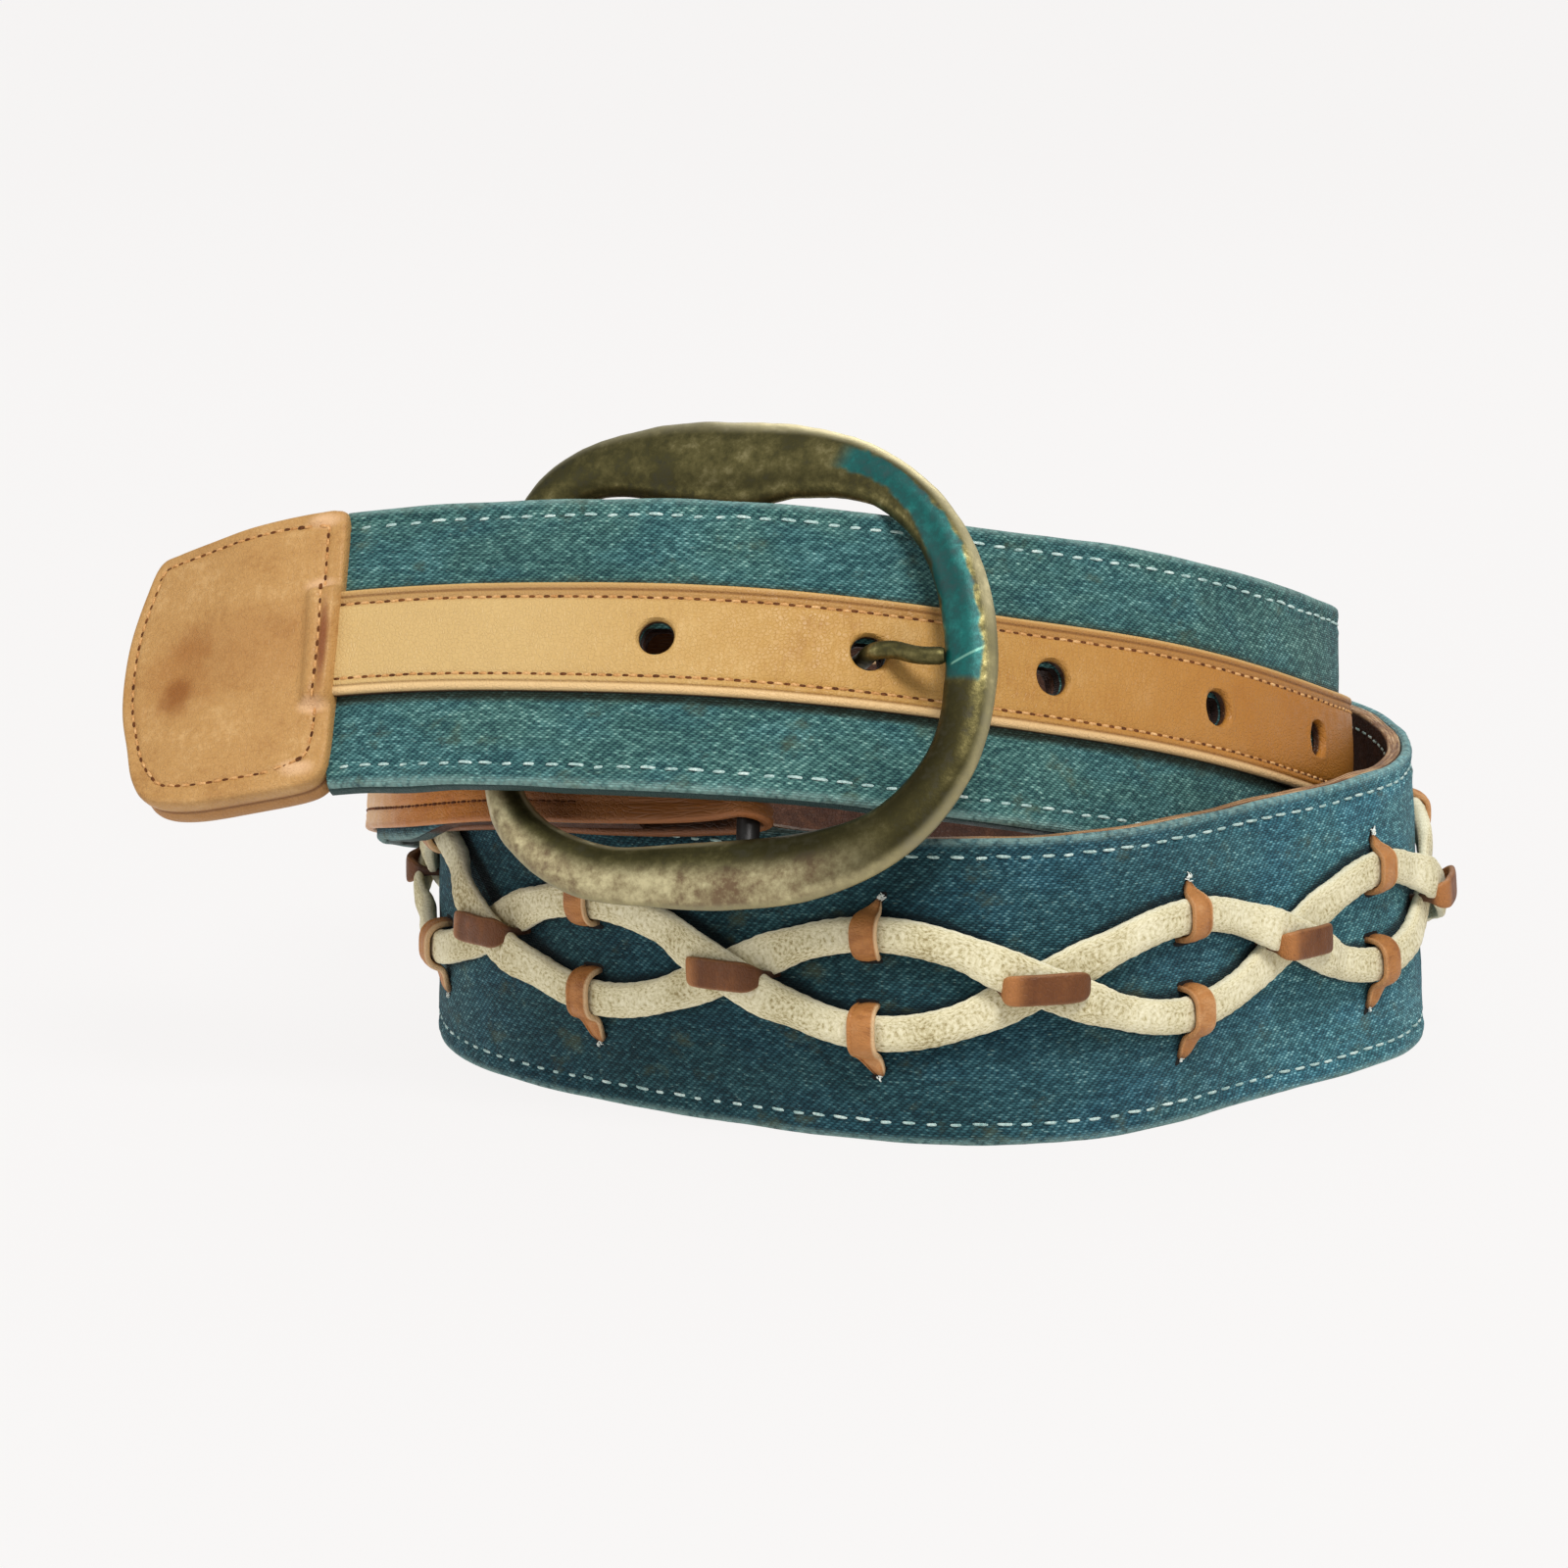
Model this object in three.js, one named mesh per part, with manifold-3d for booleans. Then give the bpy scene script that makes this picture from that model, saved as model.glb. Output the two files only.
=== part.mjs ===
// A fastened denim and leather belt, wound as a double loop and standing on its lower edge.
// Units are millimetres. +X is to the right of the loop seen from the buckle, +Y away, +Z up.
//
// Nearly everything lies on the strap, so it is drawn in strap coordinates first: s is the distance
// along the strap's middle, v the height across it from the middle line, and d the distance outward
// from the face of the denim. onStrap(s, v, d) turns these into a point of the belt.
import * as THREE from 'three';
import { mergeVertices } from 'three/addons/utils/BufferGeometryUtils.js';
import Module from 'manifold-3d';

const wasm = await Module();
wasm.setup();

// Strap sizes
const STRAP_WIDTH = 45;
const DENIM_THICK = 1.6;
const LINING_THICK = 1.9;
const GAP = 0.3;
const SEAT = 0.4;
const FACET = 8;
const LINING_TOP = -(DENIM_THICK + GAP);
const LINING_BACK = LINING_TOP - LINING_THICK;

// Punched strip on the free half, and the cap over the strap's end
const STRIP_WIDTH = 16.7;
const STRIP_THICK = 1.5;
const STRIP_START = 726.5;
const HOLE_RADIUS = 2.7;
const HOLES_AT = [749.6, 779.1, 808.7, 836.5, 867.7, 896.1, 926.2];
const CAP_START = 977.3;
const CAP_THICK = 1.5;
const CAP_BACK = LINING_BACK - GAP - 1.2;
const CAP_SIDE = 1.7;

// Leather fold that holds the buckle's bar
const CHAPE_WIDTH = 41.4;
const CHAPE_THICK = 1.6;
const CHAPE_RISE = -1.6;
const STRAP_START = 5.6;
const CHAPE_END = 106.8;
const CHAPE_BACK_END = 58;
const SLOT_HALF = 2.4;
const PRONG_AT = 1;

// Buckle: a D-shaped ring with a centre bar, in a plane of its own
const RING_CENTRE = new THREE.Vector3(-27.2, -62.5, 67.8);
const RING_TURN = 20;
const RING_LEAN = 31;
const RING_THICK = 4.2;
const BAR_RADIUS = 1.7;
const BAR_SET_BACK = 2.4;
const BAR_RIGHT = 1.2;
const BAR_SKEW = -0.15;
const WIRE_RADIUS = 1.2;

// Cotton cords that cross at a constant pitch, and the leather keepers over them
const CORD_WIDE = 4.9;
const CORD_THICK = 2.6;
const CORD_PRESSED = 1.9;
const CORD_SWING = 7.2;
const CORD_MIDDLE = 1.2;
const CORD_SIDES = 6;
const STEPS_PER_CROSSING = 8;
const LACING_START = 109.7;
const LACING_END = 724.7;
const CROSSINGS_AT = [
  119.4, 165.3, 211.2, 257.1, 303, 348.9, 392.1, 441.1, 486.9, 532.9, 578.8, 624.7, 670.6, 716.5,
];

// On the left turn the upper cord climbs higher, up to the leather fold: where, how far round, how much
const HIGH_SWING = { at: 549, reach: 20, extra: 4.4 };
// Loops stand about halfway between the crossings
const LOOPS_AT = [142.4, 188.3, 234.2, 280.1, 326, 370.2, 415.2, 465.8, 512.6, 553.6, 601.8, 647.7, 693.6];

// The strap's way round: x, y, z of its lower outer edge, and how far its top leans inward in degrees
const STATIONS = [
  // from the buckle's bar round the left side, sloping down over the back
  [-37.6, -66.9, 43.6, 29], [-50.7, -61.0, 42.5, 26], [-62.8, -51.5, 40.9, 21],
  [-75.2, -36.1, 37.1, 12], [-82.9, -11.8, 31.9, 6], [-82.2, 18.7, 24.7, 3.5],
  [-65.1, 51.3, 17.0, 2.7], [-34.2, 76.3, 10.1, 2.5], [4.0, 84.9, 4.4, 2.2],
  [40.4, 74.2, 1.0, 1.6], [66.0, 48.0, 0.1, 1.4], [76.9, 15.4, 0.2, 1.9],
  // the lower front, on the floor
  [75.5, -16.1, 0.1, 4.3], [62.7, -34.9, 0.1, 2.8], [46.5, -51.7, 0.1, 1.8],
  [24.8, -72.3, 0.1, 3.2], [-1.3, -76.0, 0.1, 2.6], [-26.9, -64.5, 0.1, -0.1],
  [-49.6, -48.6, 0.1, -1.3], [-67.9, -27.9, 0.1, 1.2], [-74.5, -3.8, 0.1, 0.3],
  // inside the first turn, climbing after the back
  [-68.1, 25.0, 0.1, 0.3], [-50.7, 49.9, 0.1, 1.3], [-24.0, 65.4, 0.8, 2.6],
  [8.0, 67.7, 3.4, 3.1], [37.9, 55.7, 8.0, 2.3], [58.3, 33.1, 13.5, 1.1],
  [65.5, 5.5, 19.3, 1.0], [61.0, -18.1, 25.1, 5.3], [51.3, -36.4, 31.6, 11.3],
  // the upper front, over the lower one and through the buckle
  [34.7, -54.4, 39.2, 17.4], [15.1, -68.2, 45.2, 24], [-7.5, -77.2, 50.0, 28.4],
  [-34.8, -78.2, 52.6, 30.4], [-54.6, -73.6, 52.5, 31.6], [-83.4, -64.0, 50.6, 34.8],
  [-104.4, -58.4, 47.3, 37.4], [-122.3, -50.2, 43.2, 39.7],
];
const FLOOR_TRIM = 0.35;
const SHIFT = new THREE.Vector3(19.395, -1.941, -FLOOR_TRIM);

const deg = THREE.MathUtils.degToRad;
const lerp = THREE.MathUtils.lerp;
const vec = (x, y, z) => new THREE.Vector3(x, y, z);

// Natural cubic spline through rows of numbers, with the chord length as its parameter
function naturalSpline(knots, rows) {
  const n = knots.length;
  const h = knots.slice(1).map((k, i) => k - knots[i]);
  const second = rows[0].map((_, c) => {
    const diag = new Array(n).fill(1);
    const upper = new Array(n).fill(0);
    const right = new Array(n).fill(0);
    for (let i = 1; i < n - 1; i++) {
      const slope = (rows[i + 1][c] - rows[i][c]) / h[i] - (rows[i][c] - rows[i - 1][c]) / h[i - 1];
      const under = h[i - 1] / diag[i - 1];
      const low = i > 1 ? under : 0;
      diag[i] = 2 * (h[i - 1] + h[i]) - low * upper[i - 1];
      upper[i] = h[i];
      right[i] = 6 * slope - low * right[i - 1];
    }
    const m = new Array(n).fill(0);
    for (let i = n - 2; i > 0; i--) m[i] = (right[i] - upper[i] * m[i + 1]) / diag[i];
    return m;
  });
  return (t) => {
    let i = 0;
    while (i < n - 2 && t >= knots[i + 1]) i++;
    const a = knots[i + 1] - t;
    const b = t - knots[i];
    return rows[0].map((_, c) => {
      const m0 = second[c][i];
      const m1 = second[c][i + 1];
      return (m0 * a ** 3 + m1 * b ** 3) / (6 * h[i])
        + (rows[i][c] / h[i] - m0 * h[i] / 6) * a
        + (rows[i + 1][c] / h[i] - m1 * h[i] / 6) * b;
    });
  };
}

const knots = [0];
for (let i = 1; i < STATIONS.length; i++) {
  const [x, y, z] = STATIONS[i];
  const [px, py, pz] = STATIONS[i - 1];
  knots.push(knots[i - 1] + Math.hypot(x - px, y - py, z - pz));
}
const spline = naturalSpline(knots, STATIONS);
const lastKnot = knots[knots.length - 1];

// Lower edge point, upward direction across the strap, and outward normal at a spline parameter
function frameAt(t) {
  const [x, y, z, lean] = spline(t);
  const ahead = spline(Math.min(t + 0.01, lastKnot));
  const behind = spline(Math.max(t - 0.01, 0));
  const along = vec(ahead[0] - behind[0], ahead[1] - behind[1], ahead[2] - behind[2]).normalize();
  const outward = vec(-along.y, along.x, 0).normalize();
  const up = along.clone().cross(outward);
  if (up.z < 0) up.negate();
  const c = Math.cos(deg(lean));
  const s = Math.sin(deg(lean));
  const across = up.clone().multiplyScalar(c).addScaledVector(outward, -s);
  const normal = outward.clone().multiplyScalar(c).addScaledVector(up, s);
  return { edge: vec(x, y, z), along, across, normal };
}

// Distance along the strap's middle line against the spline parameter
const SAMPLES = 4000;
const lengthAt = [0];
let lastMiddle = null;
for (let i = 0; i <= SAMPLES; i++) {
  const f = frameAt(lastKnot * i / SAMPLES);
  const middle = f.edge.addScaledVector(f.across, STRAP_WIDTH / 2);
  if (i > 0) lengthAt.push(lengthAt[i - 1] + middle.distanceTo(lastMiddle));
  lastMiddle = middle;
}
const STRAP_LENGTH = lengthAt[SAMPLES];

function strapFrame(s) {
  let lo = 0;
  let hi = SAMPLES;
  while (hi - lo > 1) {
    const mid = (lo + hi) >> 1;
    if (lengthAt[mid] <= s) lo = mid; else hi = mid;
  }
  const part = THREE.MathUtils.clamp((s - lengthAt[lo]) / (lengthAt[hi] - lengthAt[lo]), 0, 1);
  return frameAt(lastKnot * (lo + part) / SAMPLES);
}

function onStrap(s, v, d) {
  const f = strapFrame(s);
  return f.edge.addScaledVector(f.across, v + STRAP_WIDTH / 2).addScaledVector(f.normal, d);
}

// A closed solid through rings of points that all have the same count. Ends are capped unless the
// rings close on themselves. The two halves of a ring split their faces along opposite diagonals, so
// the facing sides of two layers have the same facets; rings before the row named backward run
// against the strap, and split the other way.
function loft(rings, closed = false, backward = 0) {
  const n = rings[0].length;
  const rows = rings.length;
  const positions = rings.flat().flatMap((p) => [p.x, p.y, p.z]);
  const index = [];
  for (let r = 0; r < (closed ? rows : rows - 1); r++) {
    const next = ((r + 1) % rows) * n;
    for (let k = 0; k < n; k++) {
      const a = r * n + k;
      const b = r * n + (k + 1) % n;
      const c = next + (k + 1) % n;
      const e = next + k;
      if ((2 * k < n) !== (r < backward)) index.push(a, b, c, a, c, e);
      else index.push(a, b, e, b, c, e);
    }
  }
  if (!closed) {
    const last = (rows - 1) * n;
    for (let k = 1; k < n - 1; k++) {
      index.push(0, k + 1, k);
      index.push(last, last + k, last + k + 1);
    }
  }
  const geometry = new THREE.BufferGeometry();
  geometry.setAttribute('position', new THREE.Float32BufferAttribute(positions, 3));
  geometry.setIndex(index);
  if (volumeOf(geometry) < 0) {
    for (let i = 0; i < index.length; i += 3) [index[i], index[i + 1]] = [index[i + 1], index[i]];
    geometry.setIndex(index);
  }
  return geometry;
}

function volumeOf(geometry) {
  const p = geometry.attributes.position;
  const idx = geometry.index.array;
  const [a, b, c] = [vec(), vec(), vec()];
  let sum = 0;
  for (let i = 0; i < idx.length; i += 3) {
    a.fromBufferAttribute(p, idx[i]);
    b.fromBufferAttribute(p, idx[i + 1]);
    c.fromBufferAttribute(p, idx[i + 2]);
    sum += a.dot(b.clone().cross(c));
  }
  return sum / 6;
}

function toSolid(geometry) {
  const bare = geometry.clone();
  bare.deleteAttribute('normal');
  bare.deleteAttribute('uv');
  const merged = mergeVertices(bare, 1e-5);
  return new wasm.Manifold(new wasm.Mesh({
    numProp: 3,
    vertProperties: new Float32Array(merged.attributes.position.array),
    triVerts: new Uint32Array(merged.index.array),
  }));
}

function toGeometry(solid) {
  const mesh = solid.getMesh();
  const geometry = new THREE.BufferGeometry();
  geometry.setAttribute('position', new THREE.BufferAttribute(new Float32Array(mesh.vertProperties), 3));
  geometry.setIndex(new THREE.BufferAttribute(new Uint32Array(mesh.triVerts), 1));
  return geometry;
}

// Evenly spaced places from a to b, no farther apart than a step
function spaced(a, b, step) {
  const n = Math.max(1, Math.ceil((b - a) / step));
  return Array.from({ length: n + 1 }, (_, i) => lerp(a, b, i / n));
}

// A layer of the strap: half widths and both faces given as functions of s
function layer(places, half, back, front) {
  return loft(places.map((s) => {
    const w = half(s);
    return [onStrap(s, -w, back), onStrap(s, w, back), onStrap(s, w, front), onStrap(s, -w, front)];
  }));
}

// Round punch through the strap, drawn in strap coordinates
function punch(s0, v0, radius, back, front, sides = 10) {
  return loft([back, front].map((d) => Array.from({ length: sides }, (_, k) => {
    const a = (k + 0.5) * 2 * Math.PI / sides;
    return onStrap(s0 + radius * Math.cos(a), v0 + radius * Math.sin(a), d);
  })));
}

const floorBlock = new THREE.BoxGeometry(400, 400, 40).translate(0, 0, FLOOR_TRIM - 20);

function cutHoles(geometry, trimmed) {
  let solid = toSolid(geometry);
  for (const s of HOLES_AT) {
    solid = solid.subtract(toSolid(punch(s, 0, HOLE_RADIUS, LINING_BACK - 1, STRIP_THICK + 1.5)));
  }
  if (trimmed) solid = solid.subtract(toSolid(floorBlock));
  return toGeometry(solid);
}

// Under the cap the strap is narrower and its end is rounded
const END_INSIDE = STRAP_LENGTH - CAP_SIDE - GAP;
function strapHalf(s) {
  if (s < CAP_START - 0.7) return STRAP_WIDTH / 2;
  const narrow = STRAP_WIDTH / 2 - CAP_SIDE - GAP;
  return narrow - 10 * Math.max(0, (s - (END_INSIDE - 11)) / 11) ** 2;
}
const strapPlaces = [
  ...spaced(STRAP_START, CAP_START - 0.8, FACET),
  CAP_START - 0.3, CAP_START + 8, CAP_START + 16, END_INSIDE - 9, END_INSIDE - 4, END_INSIDE,
];

const denimStrap = cutHoles(layer(strapPlaces, strapHalf, -DENIM_THICK, 0), true);
const leatherLining = cutHoles(layer(strapPlaces, strapHalf, LINING_BACK, LINING_TOP), true);
const stripPlaces = [STRIP_START, ...strapPlaces.filter((s) => s > STRIP_START + 1 && s < CAP_START - 1),
  CAP_START + 4];
const holeStrip = cutHoles(layer(stripPlaces, () => STRIP_WIDTH / 2, SEAT, SEAT + STRIP_THICK), false);

// Cap: a flattened sleeve with bevelled edges, closed at the tip, with a pocket for the strap's end
// and a raised mouth over the end of the punched strip
function capHalf(s) {
  return STRAP_WIDTH / 2 + 0.3 - 10.5 * Math.max(0, (s - (STRAP_LENGTH - 12.5)) / 12.5) ** 2;
}
const capRows = [CAP_START, CAP_START + 8, CAP_START + 16, STRAP_LENGTH - 12.5, STRAP_LENGTH - 8,
  STRAP_LENGTH - 4, STRAP_LENGTH - 1.2, STRAP_LENGTH];
const capFront = SEAT + CAP_THICK;
let capSolid = toSolid(loft(capRows.map((s) => {
  const w = capHalf(s);
  return [[-w, -2.6], [-w, -1], [-w + 1.4, capFront], [w - 1.4, capFront], [w, -1], [w, -2.6],
    [w - 1.4, CAP_BACK], [-w + 1.4, CAP_BACK]].map(([v, d]) => onStrap(s, v, d));
})));
const stripHalf = STRIP_WIDTH / 2;
capSolid = capSolid.add(toSolid(loft([[CAP_START, 3.5], [CAP_START + 6, 3.3], [CAP_START + 11, 1]]
  .map(([s, top]) => [[-stripHalf - 2.6, 1], [-stripHalf - 0.6, top], [stripHalf + 0.6, top],
    [stripHalf + 2.6, 1], [stripHalf + 2.6, 0.6], [-stripHalf - 2.6, 0.6]]
    .map(([v, d]) => onStrap(s, v, d))))));
const pocketRows = [CAP_START - 2, CAP_START + 8, CAP_START + 16, END_INSIDE - 9, END_INSIDE - 4,
  END_INSIDE + GAP];
capSolid = capSolid.subtract(toSolid(loft(pocketRows.map((s) => {
  const w = strapHalf(Math.max(s, CAP_START)) + GAP;
  return [[-w, LINING_BACK - GAP], [w, LINING_BACK - GAP], [w, SEAT], [-w, SEAT]]
    .map(([v, d]) => onStrap(s, v, d));
}))));
capSolid = capSolid.subtract(toSolid(loft([CAP_START - 2, CAP_START + 4.3].map((s) => {
  const w = stripHalf + GAP;
  return [[-w, -0.5], [w, -0.5], [w, SEAT + STRIP_THICK + GAP], [-w, SEAT + STRIP_THICK + GAP]]
    .map(([v, d]) => onStrap(s, v, d));
}))));

// Ring plane: right along the bar's normal, up along the bar, and the face direction
const turn = deg(RING_TURN);
const ringRight = vec(Math.cos(turn), -Math.sin(turn), 0);
const ringLevel = vec(-Math.sin(turn), -Math.cos(turn), 0);
const ringUp = vec(0, 0, Math.cos(deg(RING_LEAN))).addScaledVector(ringLevel, -Math.sin(deg(RING_LEAN)));
const ringFace = vec(0, 0, Math.sin(deg(RING_LEAN))).addScaledVector(ringLevel, Math.cos(deg(RING_LEAN)));
function onRing(u, v, n) {
  return RING_CENTRE.clone().addScaledVector(ringRight, u).addScaledVector(ringUp, v)
    .addScaledVector(ringFace, n);
}

// The same measured from the bar's axis, which stands a little askew in the ring
function onBar(u, v, n) {
  return onRing(BAR_RIGHT + BAR_SKEW * v + u, v, n - BAR_SET_BACK);
}

// Ring outline, one row every 20 degrees from the right, counterclockwise: outer and inner radius
const RING_ROWS = [
  [38.5, 30.9], [37.8, 30.3], [37.9, 30.8], [38.1, 30.2], [38.0, 27.4], [38.6, 25.3], [42.0, 29.2],
  [45.6, 37.6], [43.8, 38.6], [40.0, 35.3], [39.6, 34.9], [42.6, 36.4], [41.4, 33.0], [37.8, 28.3],
  [37.2, 26.9], [38.6, 28.5], [40.0, 31.5], [39.8, 32.3],
];
const RING_STEPS = 48;
function ringRadius(angle, column) {
  const n = RING_ROWS.length;
  const t = ((angle / (2 * Math.PI)) * n % n + n) % n;
  const i = Math.floor(t);
  const f = t - i;
  const [p0, p1, p2, p3] = [-1, 0, 1, 2].map((k) => RING_ROWS[(i + k + n) % n][column]);
  return p1 + 0.5 * f * (p2 - p0 + f * (2 * p0 - 5 * p1 + 4 * p2 - p3 + f * (3 * (p1 - p2) + p3 - p0)));
}
// Section from the inner to the outer rim: share of the band's width, share of the thickness
const RING_SECTION = [[0, -0.12], [0, 0.14], [0.14, 0.36], [0.55, 0.5], [0.88, 0.28], [1, 0], [0.88, -0.4],
  [0.36, -0.5]];
const ringLoop = loft(Array.from({ length: RING_STEPS }, (_, k) => {
  const a = k * 2 * Math.PI / RING_STEPS;
  const outer = ringRadius(a, 0);
  const inner = ringRadius(a, 1);
  return RING_SECTION.map(([w, t]) => {
    const r = lerp(inner, outer, w);
    return onRing(r * Math.cos(a), r * Math.sin(a), t * RING_THICK);
  });
}), true);

function rod(stations, radius, sides) {
  return loft(stations.map(({ at, e1, e2 }) => Array.from({ length: sides }, (_, k) => {
    const a = k * 2 * Math.PI / sides;
    return at.clone().addScaledVector(e1, radius * Math.cos(a)).addScaledVector(e2, radius * Math.sin(a));
  })));
}
const bar = rod([-30, 29.5].map((v) => ({ at: onBar(0, v, 0), e1: ringRight, e2: ringFace })),
  BAR_RADIUS, 10);
const buckleFrame = toGeometry(toSolid(ringLoop).add(toSolid(bar)));

// Prong: hooked round the bar, behind the strap to the hole, out through it, and on to the ring
const hook = BAR_RADIUS + GAP + WIRE_RADIUS;
const prongHole = HOLES_AT[5];
const prongWay = [
  ...[150, 180, 210, 240, 270, 300, 325].map((a) =>
    onBar(hook * Math.cos(deg(a)), PRONG_AT, hook * Math.sin(deg(a)))),
  ...[[9.6, -5.7], [5.6, -5.65], [2.6, -5.5], [1.0, -4.6], [0.3, -2.8], [0, -0.8], [-0.2, 1.1],
    [-0.8, 2.8], [-2.4, 3.8]].map(([ahead, d]) => onStrap(prongHole + ahead, 0, d)),
  onRing(26, 2.9, 1.2), onRing(30, 3.1, 0.5),
];
function wireThrough(points, radius, sides) {
  const across = ringUp;
  return rod(points.map((at, i) => {
    const before = points[Math.max(0, i - 1)];
    const after = points[Math.min(points.length - 1, i + 1)];
    const along = after.clone().sub(before).normalize();
    const e1 = across.clone().addScaledVector(along, -across.dot(along)).normalize();
    return { at, e1, e2: along.clone().cross(e1) };
  }), radius, sides);
}
const buckleProng = wireThrough(prongWay, WIRE_RADIUS, 8);

// Chape: one strip of leather along the strap, round the bar's right side, and back inside
function chapeRing(low, high, normal) {
  return [low.clone().addScaledVector(normal, -CHAPE_THICK / 2),
    high.clone().addScaledVector(normal, -CHAPE_THICK / 2),
    high.clone().addScaledVector(normal, CHAPE_THICK / 2),
    low.clone().addScaledVector(normal, CHAPE_THICK / 2)];
}
function chapeOnStrap(s, d) {
  const f = strapFrame(s);
  return chapeRing(onStrap(s, -CHAPE_WIDTH / 2, d), onStrap(s, CHAPE_WIDTH / 2, d), f.normal);
}
function chapeInRing(u, n, normal) {
  return chapeRing(onBar(u, -CHAPE_WIDTH / 2 + CHAPE_RISE, n), onBar(u, CHAPE_WIDTH / 2 + CHAPE_RISE, n),
    normal);
}
const foldRadius = BAR_RADIUS + GAP + CHAPE_THICK / 2;
function chapeRoundBar(angle) {
  const c = foldRadius * Math.cos(deg(angle));
  const n = foldRadius * Math.sin(deg(angle));
  const normal = ringRight.clone().multiplyScalar(Math.cos(deg(angle)))
    .addScaledVector(ringFace, Math.sin(deg(angle)));
  return chapeInRing(c, n, normal);
}
const chapeFront = SEAT + CHAPE_THICK / 2;
const chapeBack = LINING_BACK - GAP - CHAPE_THICK / 2;
const leaning = (angle) => ringRight.clone().multiplyScalar(Math.cos(deg(angle)))
  .addScaledVector(ringFace, Math.sin(deg(angle)));
const chapePlaces = (end) => [STRAP_START + 0.4, ...strapPlaces.filter((s) => s > STRAP_START && s < end - 1), end];
const frontPlaces = chapePlaces(CHAPE_END).reverse();
const backPlaces = chapePlaces(CHAPE_BACK_END);
const chapeRings = [
  ...frontPlaces.map((s) => chapeOnStrap(s, chapeFront)),
  ...[124, 90, 55, 20, -15, -50].map(chapeRoundBar),
  chapeInRing(-9.5, -6.8, leaning(-66)),
  ...backPlaces.map((s) => {
    const [a, b, c, e] = chapeOnStrap(s, chapeBack);
    return [e, c, b, a];
  }),
];
const slotBlock = loft([-SLOT_HALF, SLOT_HALF].map((v) => [[-4.5, -7.4], [8, -7.4], [8, 7.6], [-4.5, 7.6]]
  .map(([u, n]) => onBar(u, v + PRONG_AT, n))));
const chape = toGeometry(toSolid(loft(chapeRings, false, frontPlaces.length)).subtract(toSolid(slotBlock)));

// Cords: each swings from one side to the other between crossings, and they take turns on top
function cordSwing(s, side) {
  const near = Math.exp(-(((s - HIGH_SWING.at) / HIGH_SWING.reach) ** 2));
  return side > 0 ? CORD_SWING + HIGH_SWING.extra * near : CORD_SWING;
}
function cordState(s, side) {
  let k = CROSSINGS_AT.findIndex((c) => c > s) - 1;
  if (k === -2) k = CROSSINGS_AT.length - 1;
  const first = CROSSINGS_AT[0];
  const pitch = k < 0 ? CROSSINGS_AT[1] - first
    : (CROSSINGS_AT[k + 1] ?? CROSSINGS_AT[k] + 45.9) - CROSSINGS_AT[k];
  const from = k < 0 ? first - pitch : CROSSINGS_AT[k];
  const phase = (s - from) / pitch;
  const up = side * (k % 2 === 0 ? 1 : -1);
  const v = CORD_MIDDLE + up * cordSwing(s, up) * Math.sin(Math.PI * phase);
  const nearest = phase > 0.5 ? k + 1 : k;
  const away = Math.abs(s - (phase > 0.5 ? from + pitch : from));
  const near = 1 - THREE.MathUtils.smoothstep(away, 5.4, 12);
  const onTop = (nearest % 2 === 0) === (side > 0);
  const half = lerp(CORD_THICK, CORD_PRESSED, near) / 2;
  const lift = onTop ? near * (CORD_PRESSED + 0.35) : 0;
  return { v, d: SEAT + half + lift, half };
}
function cordPlaces() {
  const places = [LACING_START, (LACING_START + CROSSINGS_AT[0]) / 2];
  CROSSINGS_AT.forEach((c, i) => {
    const next = CROSSINGS_AT[i + 1];
    if (next) for (let k = 0; k < STEPS_PER_CROSSING; k++) places.push(lerp(c, next, k / STEPS_PER_CROSSING));
    else places.push(c, (c + LACING_END) / 2, LACING_END);
  });
  return places;
}
function cord(side) {
  return loft(cordPlaces().map((s) => {
    const here = cordState(s, side);
    const slope = Math.atan2(cordState(s + 0.2, side).v - cordState(s - 0.2, side).v, 0.4);
    return Array.from({ length: CORD_SIDES }, (_, k) => {
      const a = k * 2 * Math.PI / CORD_SIDES;
      const w = CORD_WIDE / 2 * Math.cos(a);
      return onStrap(s - w * Math.sin(slope), here.v + w * Math.cos(slope), here.d + here.half * Math.sin(a));
    });
  }));
}

// Leather keeper over a crossing: a plate with a narrow leg into the strap at each end
const PLATE_LOW = SEAT + 2 * CORD_PRESSED + 0.35 + GAP;
const KEEPER_ROWS = [
  // distance from the crossing, half width, lower and upper face
  [-9.2, 0.8, SEAT, 1.4], [-6.5, 0.4, PLATE_LOW, PLATE_LOW + 0.8], [-5.1, 2.4, PLATE_LOW, PLATE_LOW + 1],
  [0, 2.4, PLATE_LOW, PLATE_LOW + 1], [5.1, 2.4, PLATE_LOW, PLATE_LOW + 1],
  [6.5, 0.4, PLATE_LOW, PLATE_LOW + 0.8], [9.2, 0.8, SEAT, 1.4],
];
function centreKeeper(s) {
  return loft(KEEPER_ROWS.map(([x, half, low, high]) => [
    onStrap(s + x, CORD_MIDDLE - half, low), onStrap(s + x, CORD_MIDDLE + half, low),
    onStrap(s + x, CORD_MIDDLE + half, high), onStrap(s + x, CORD_MIDDLE - half, high)]));
}

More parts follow.
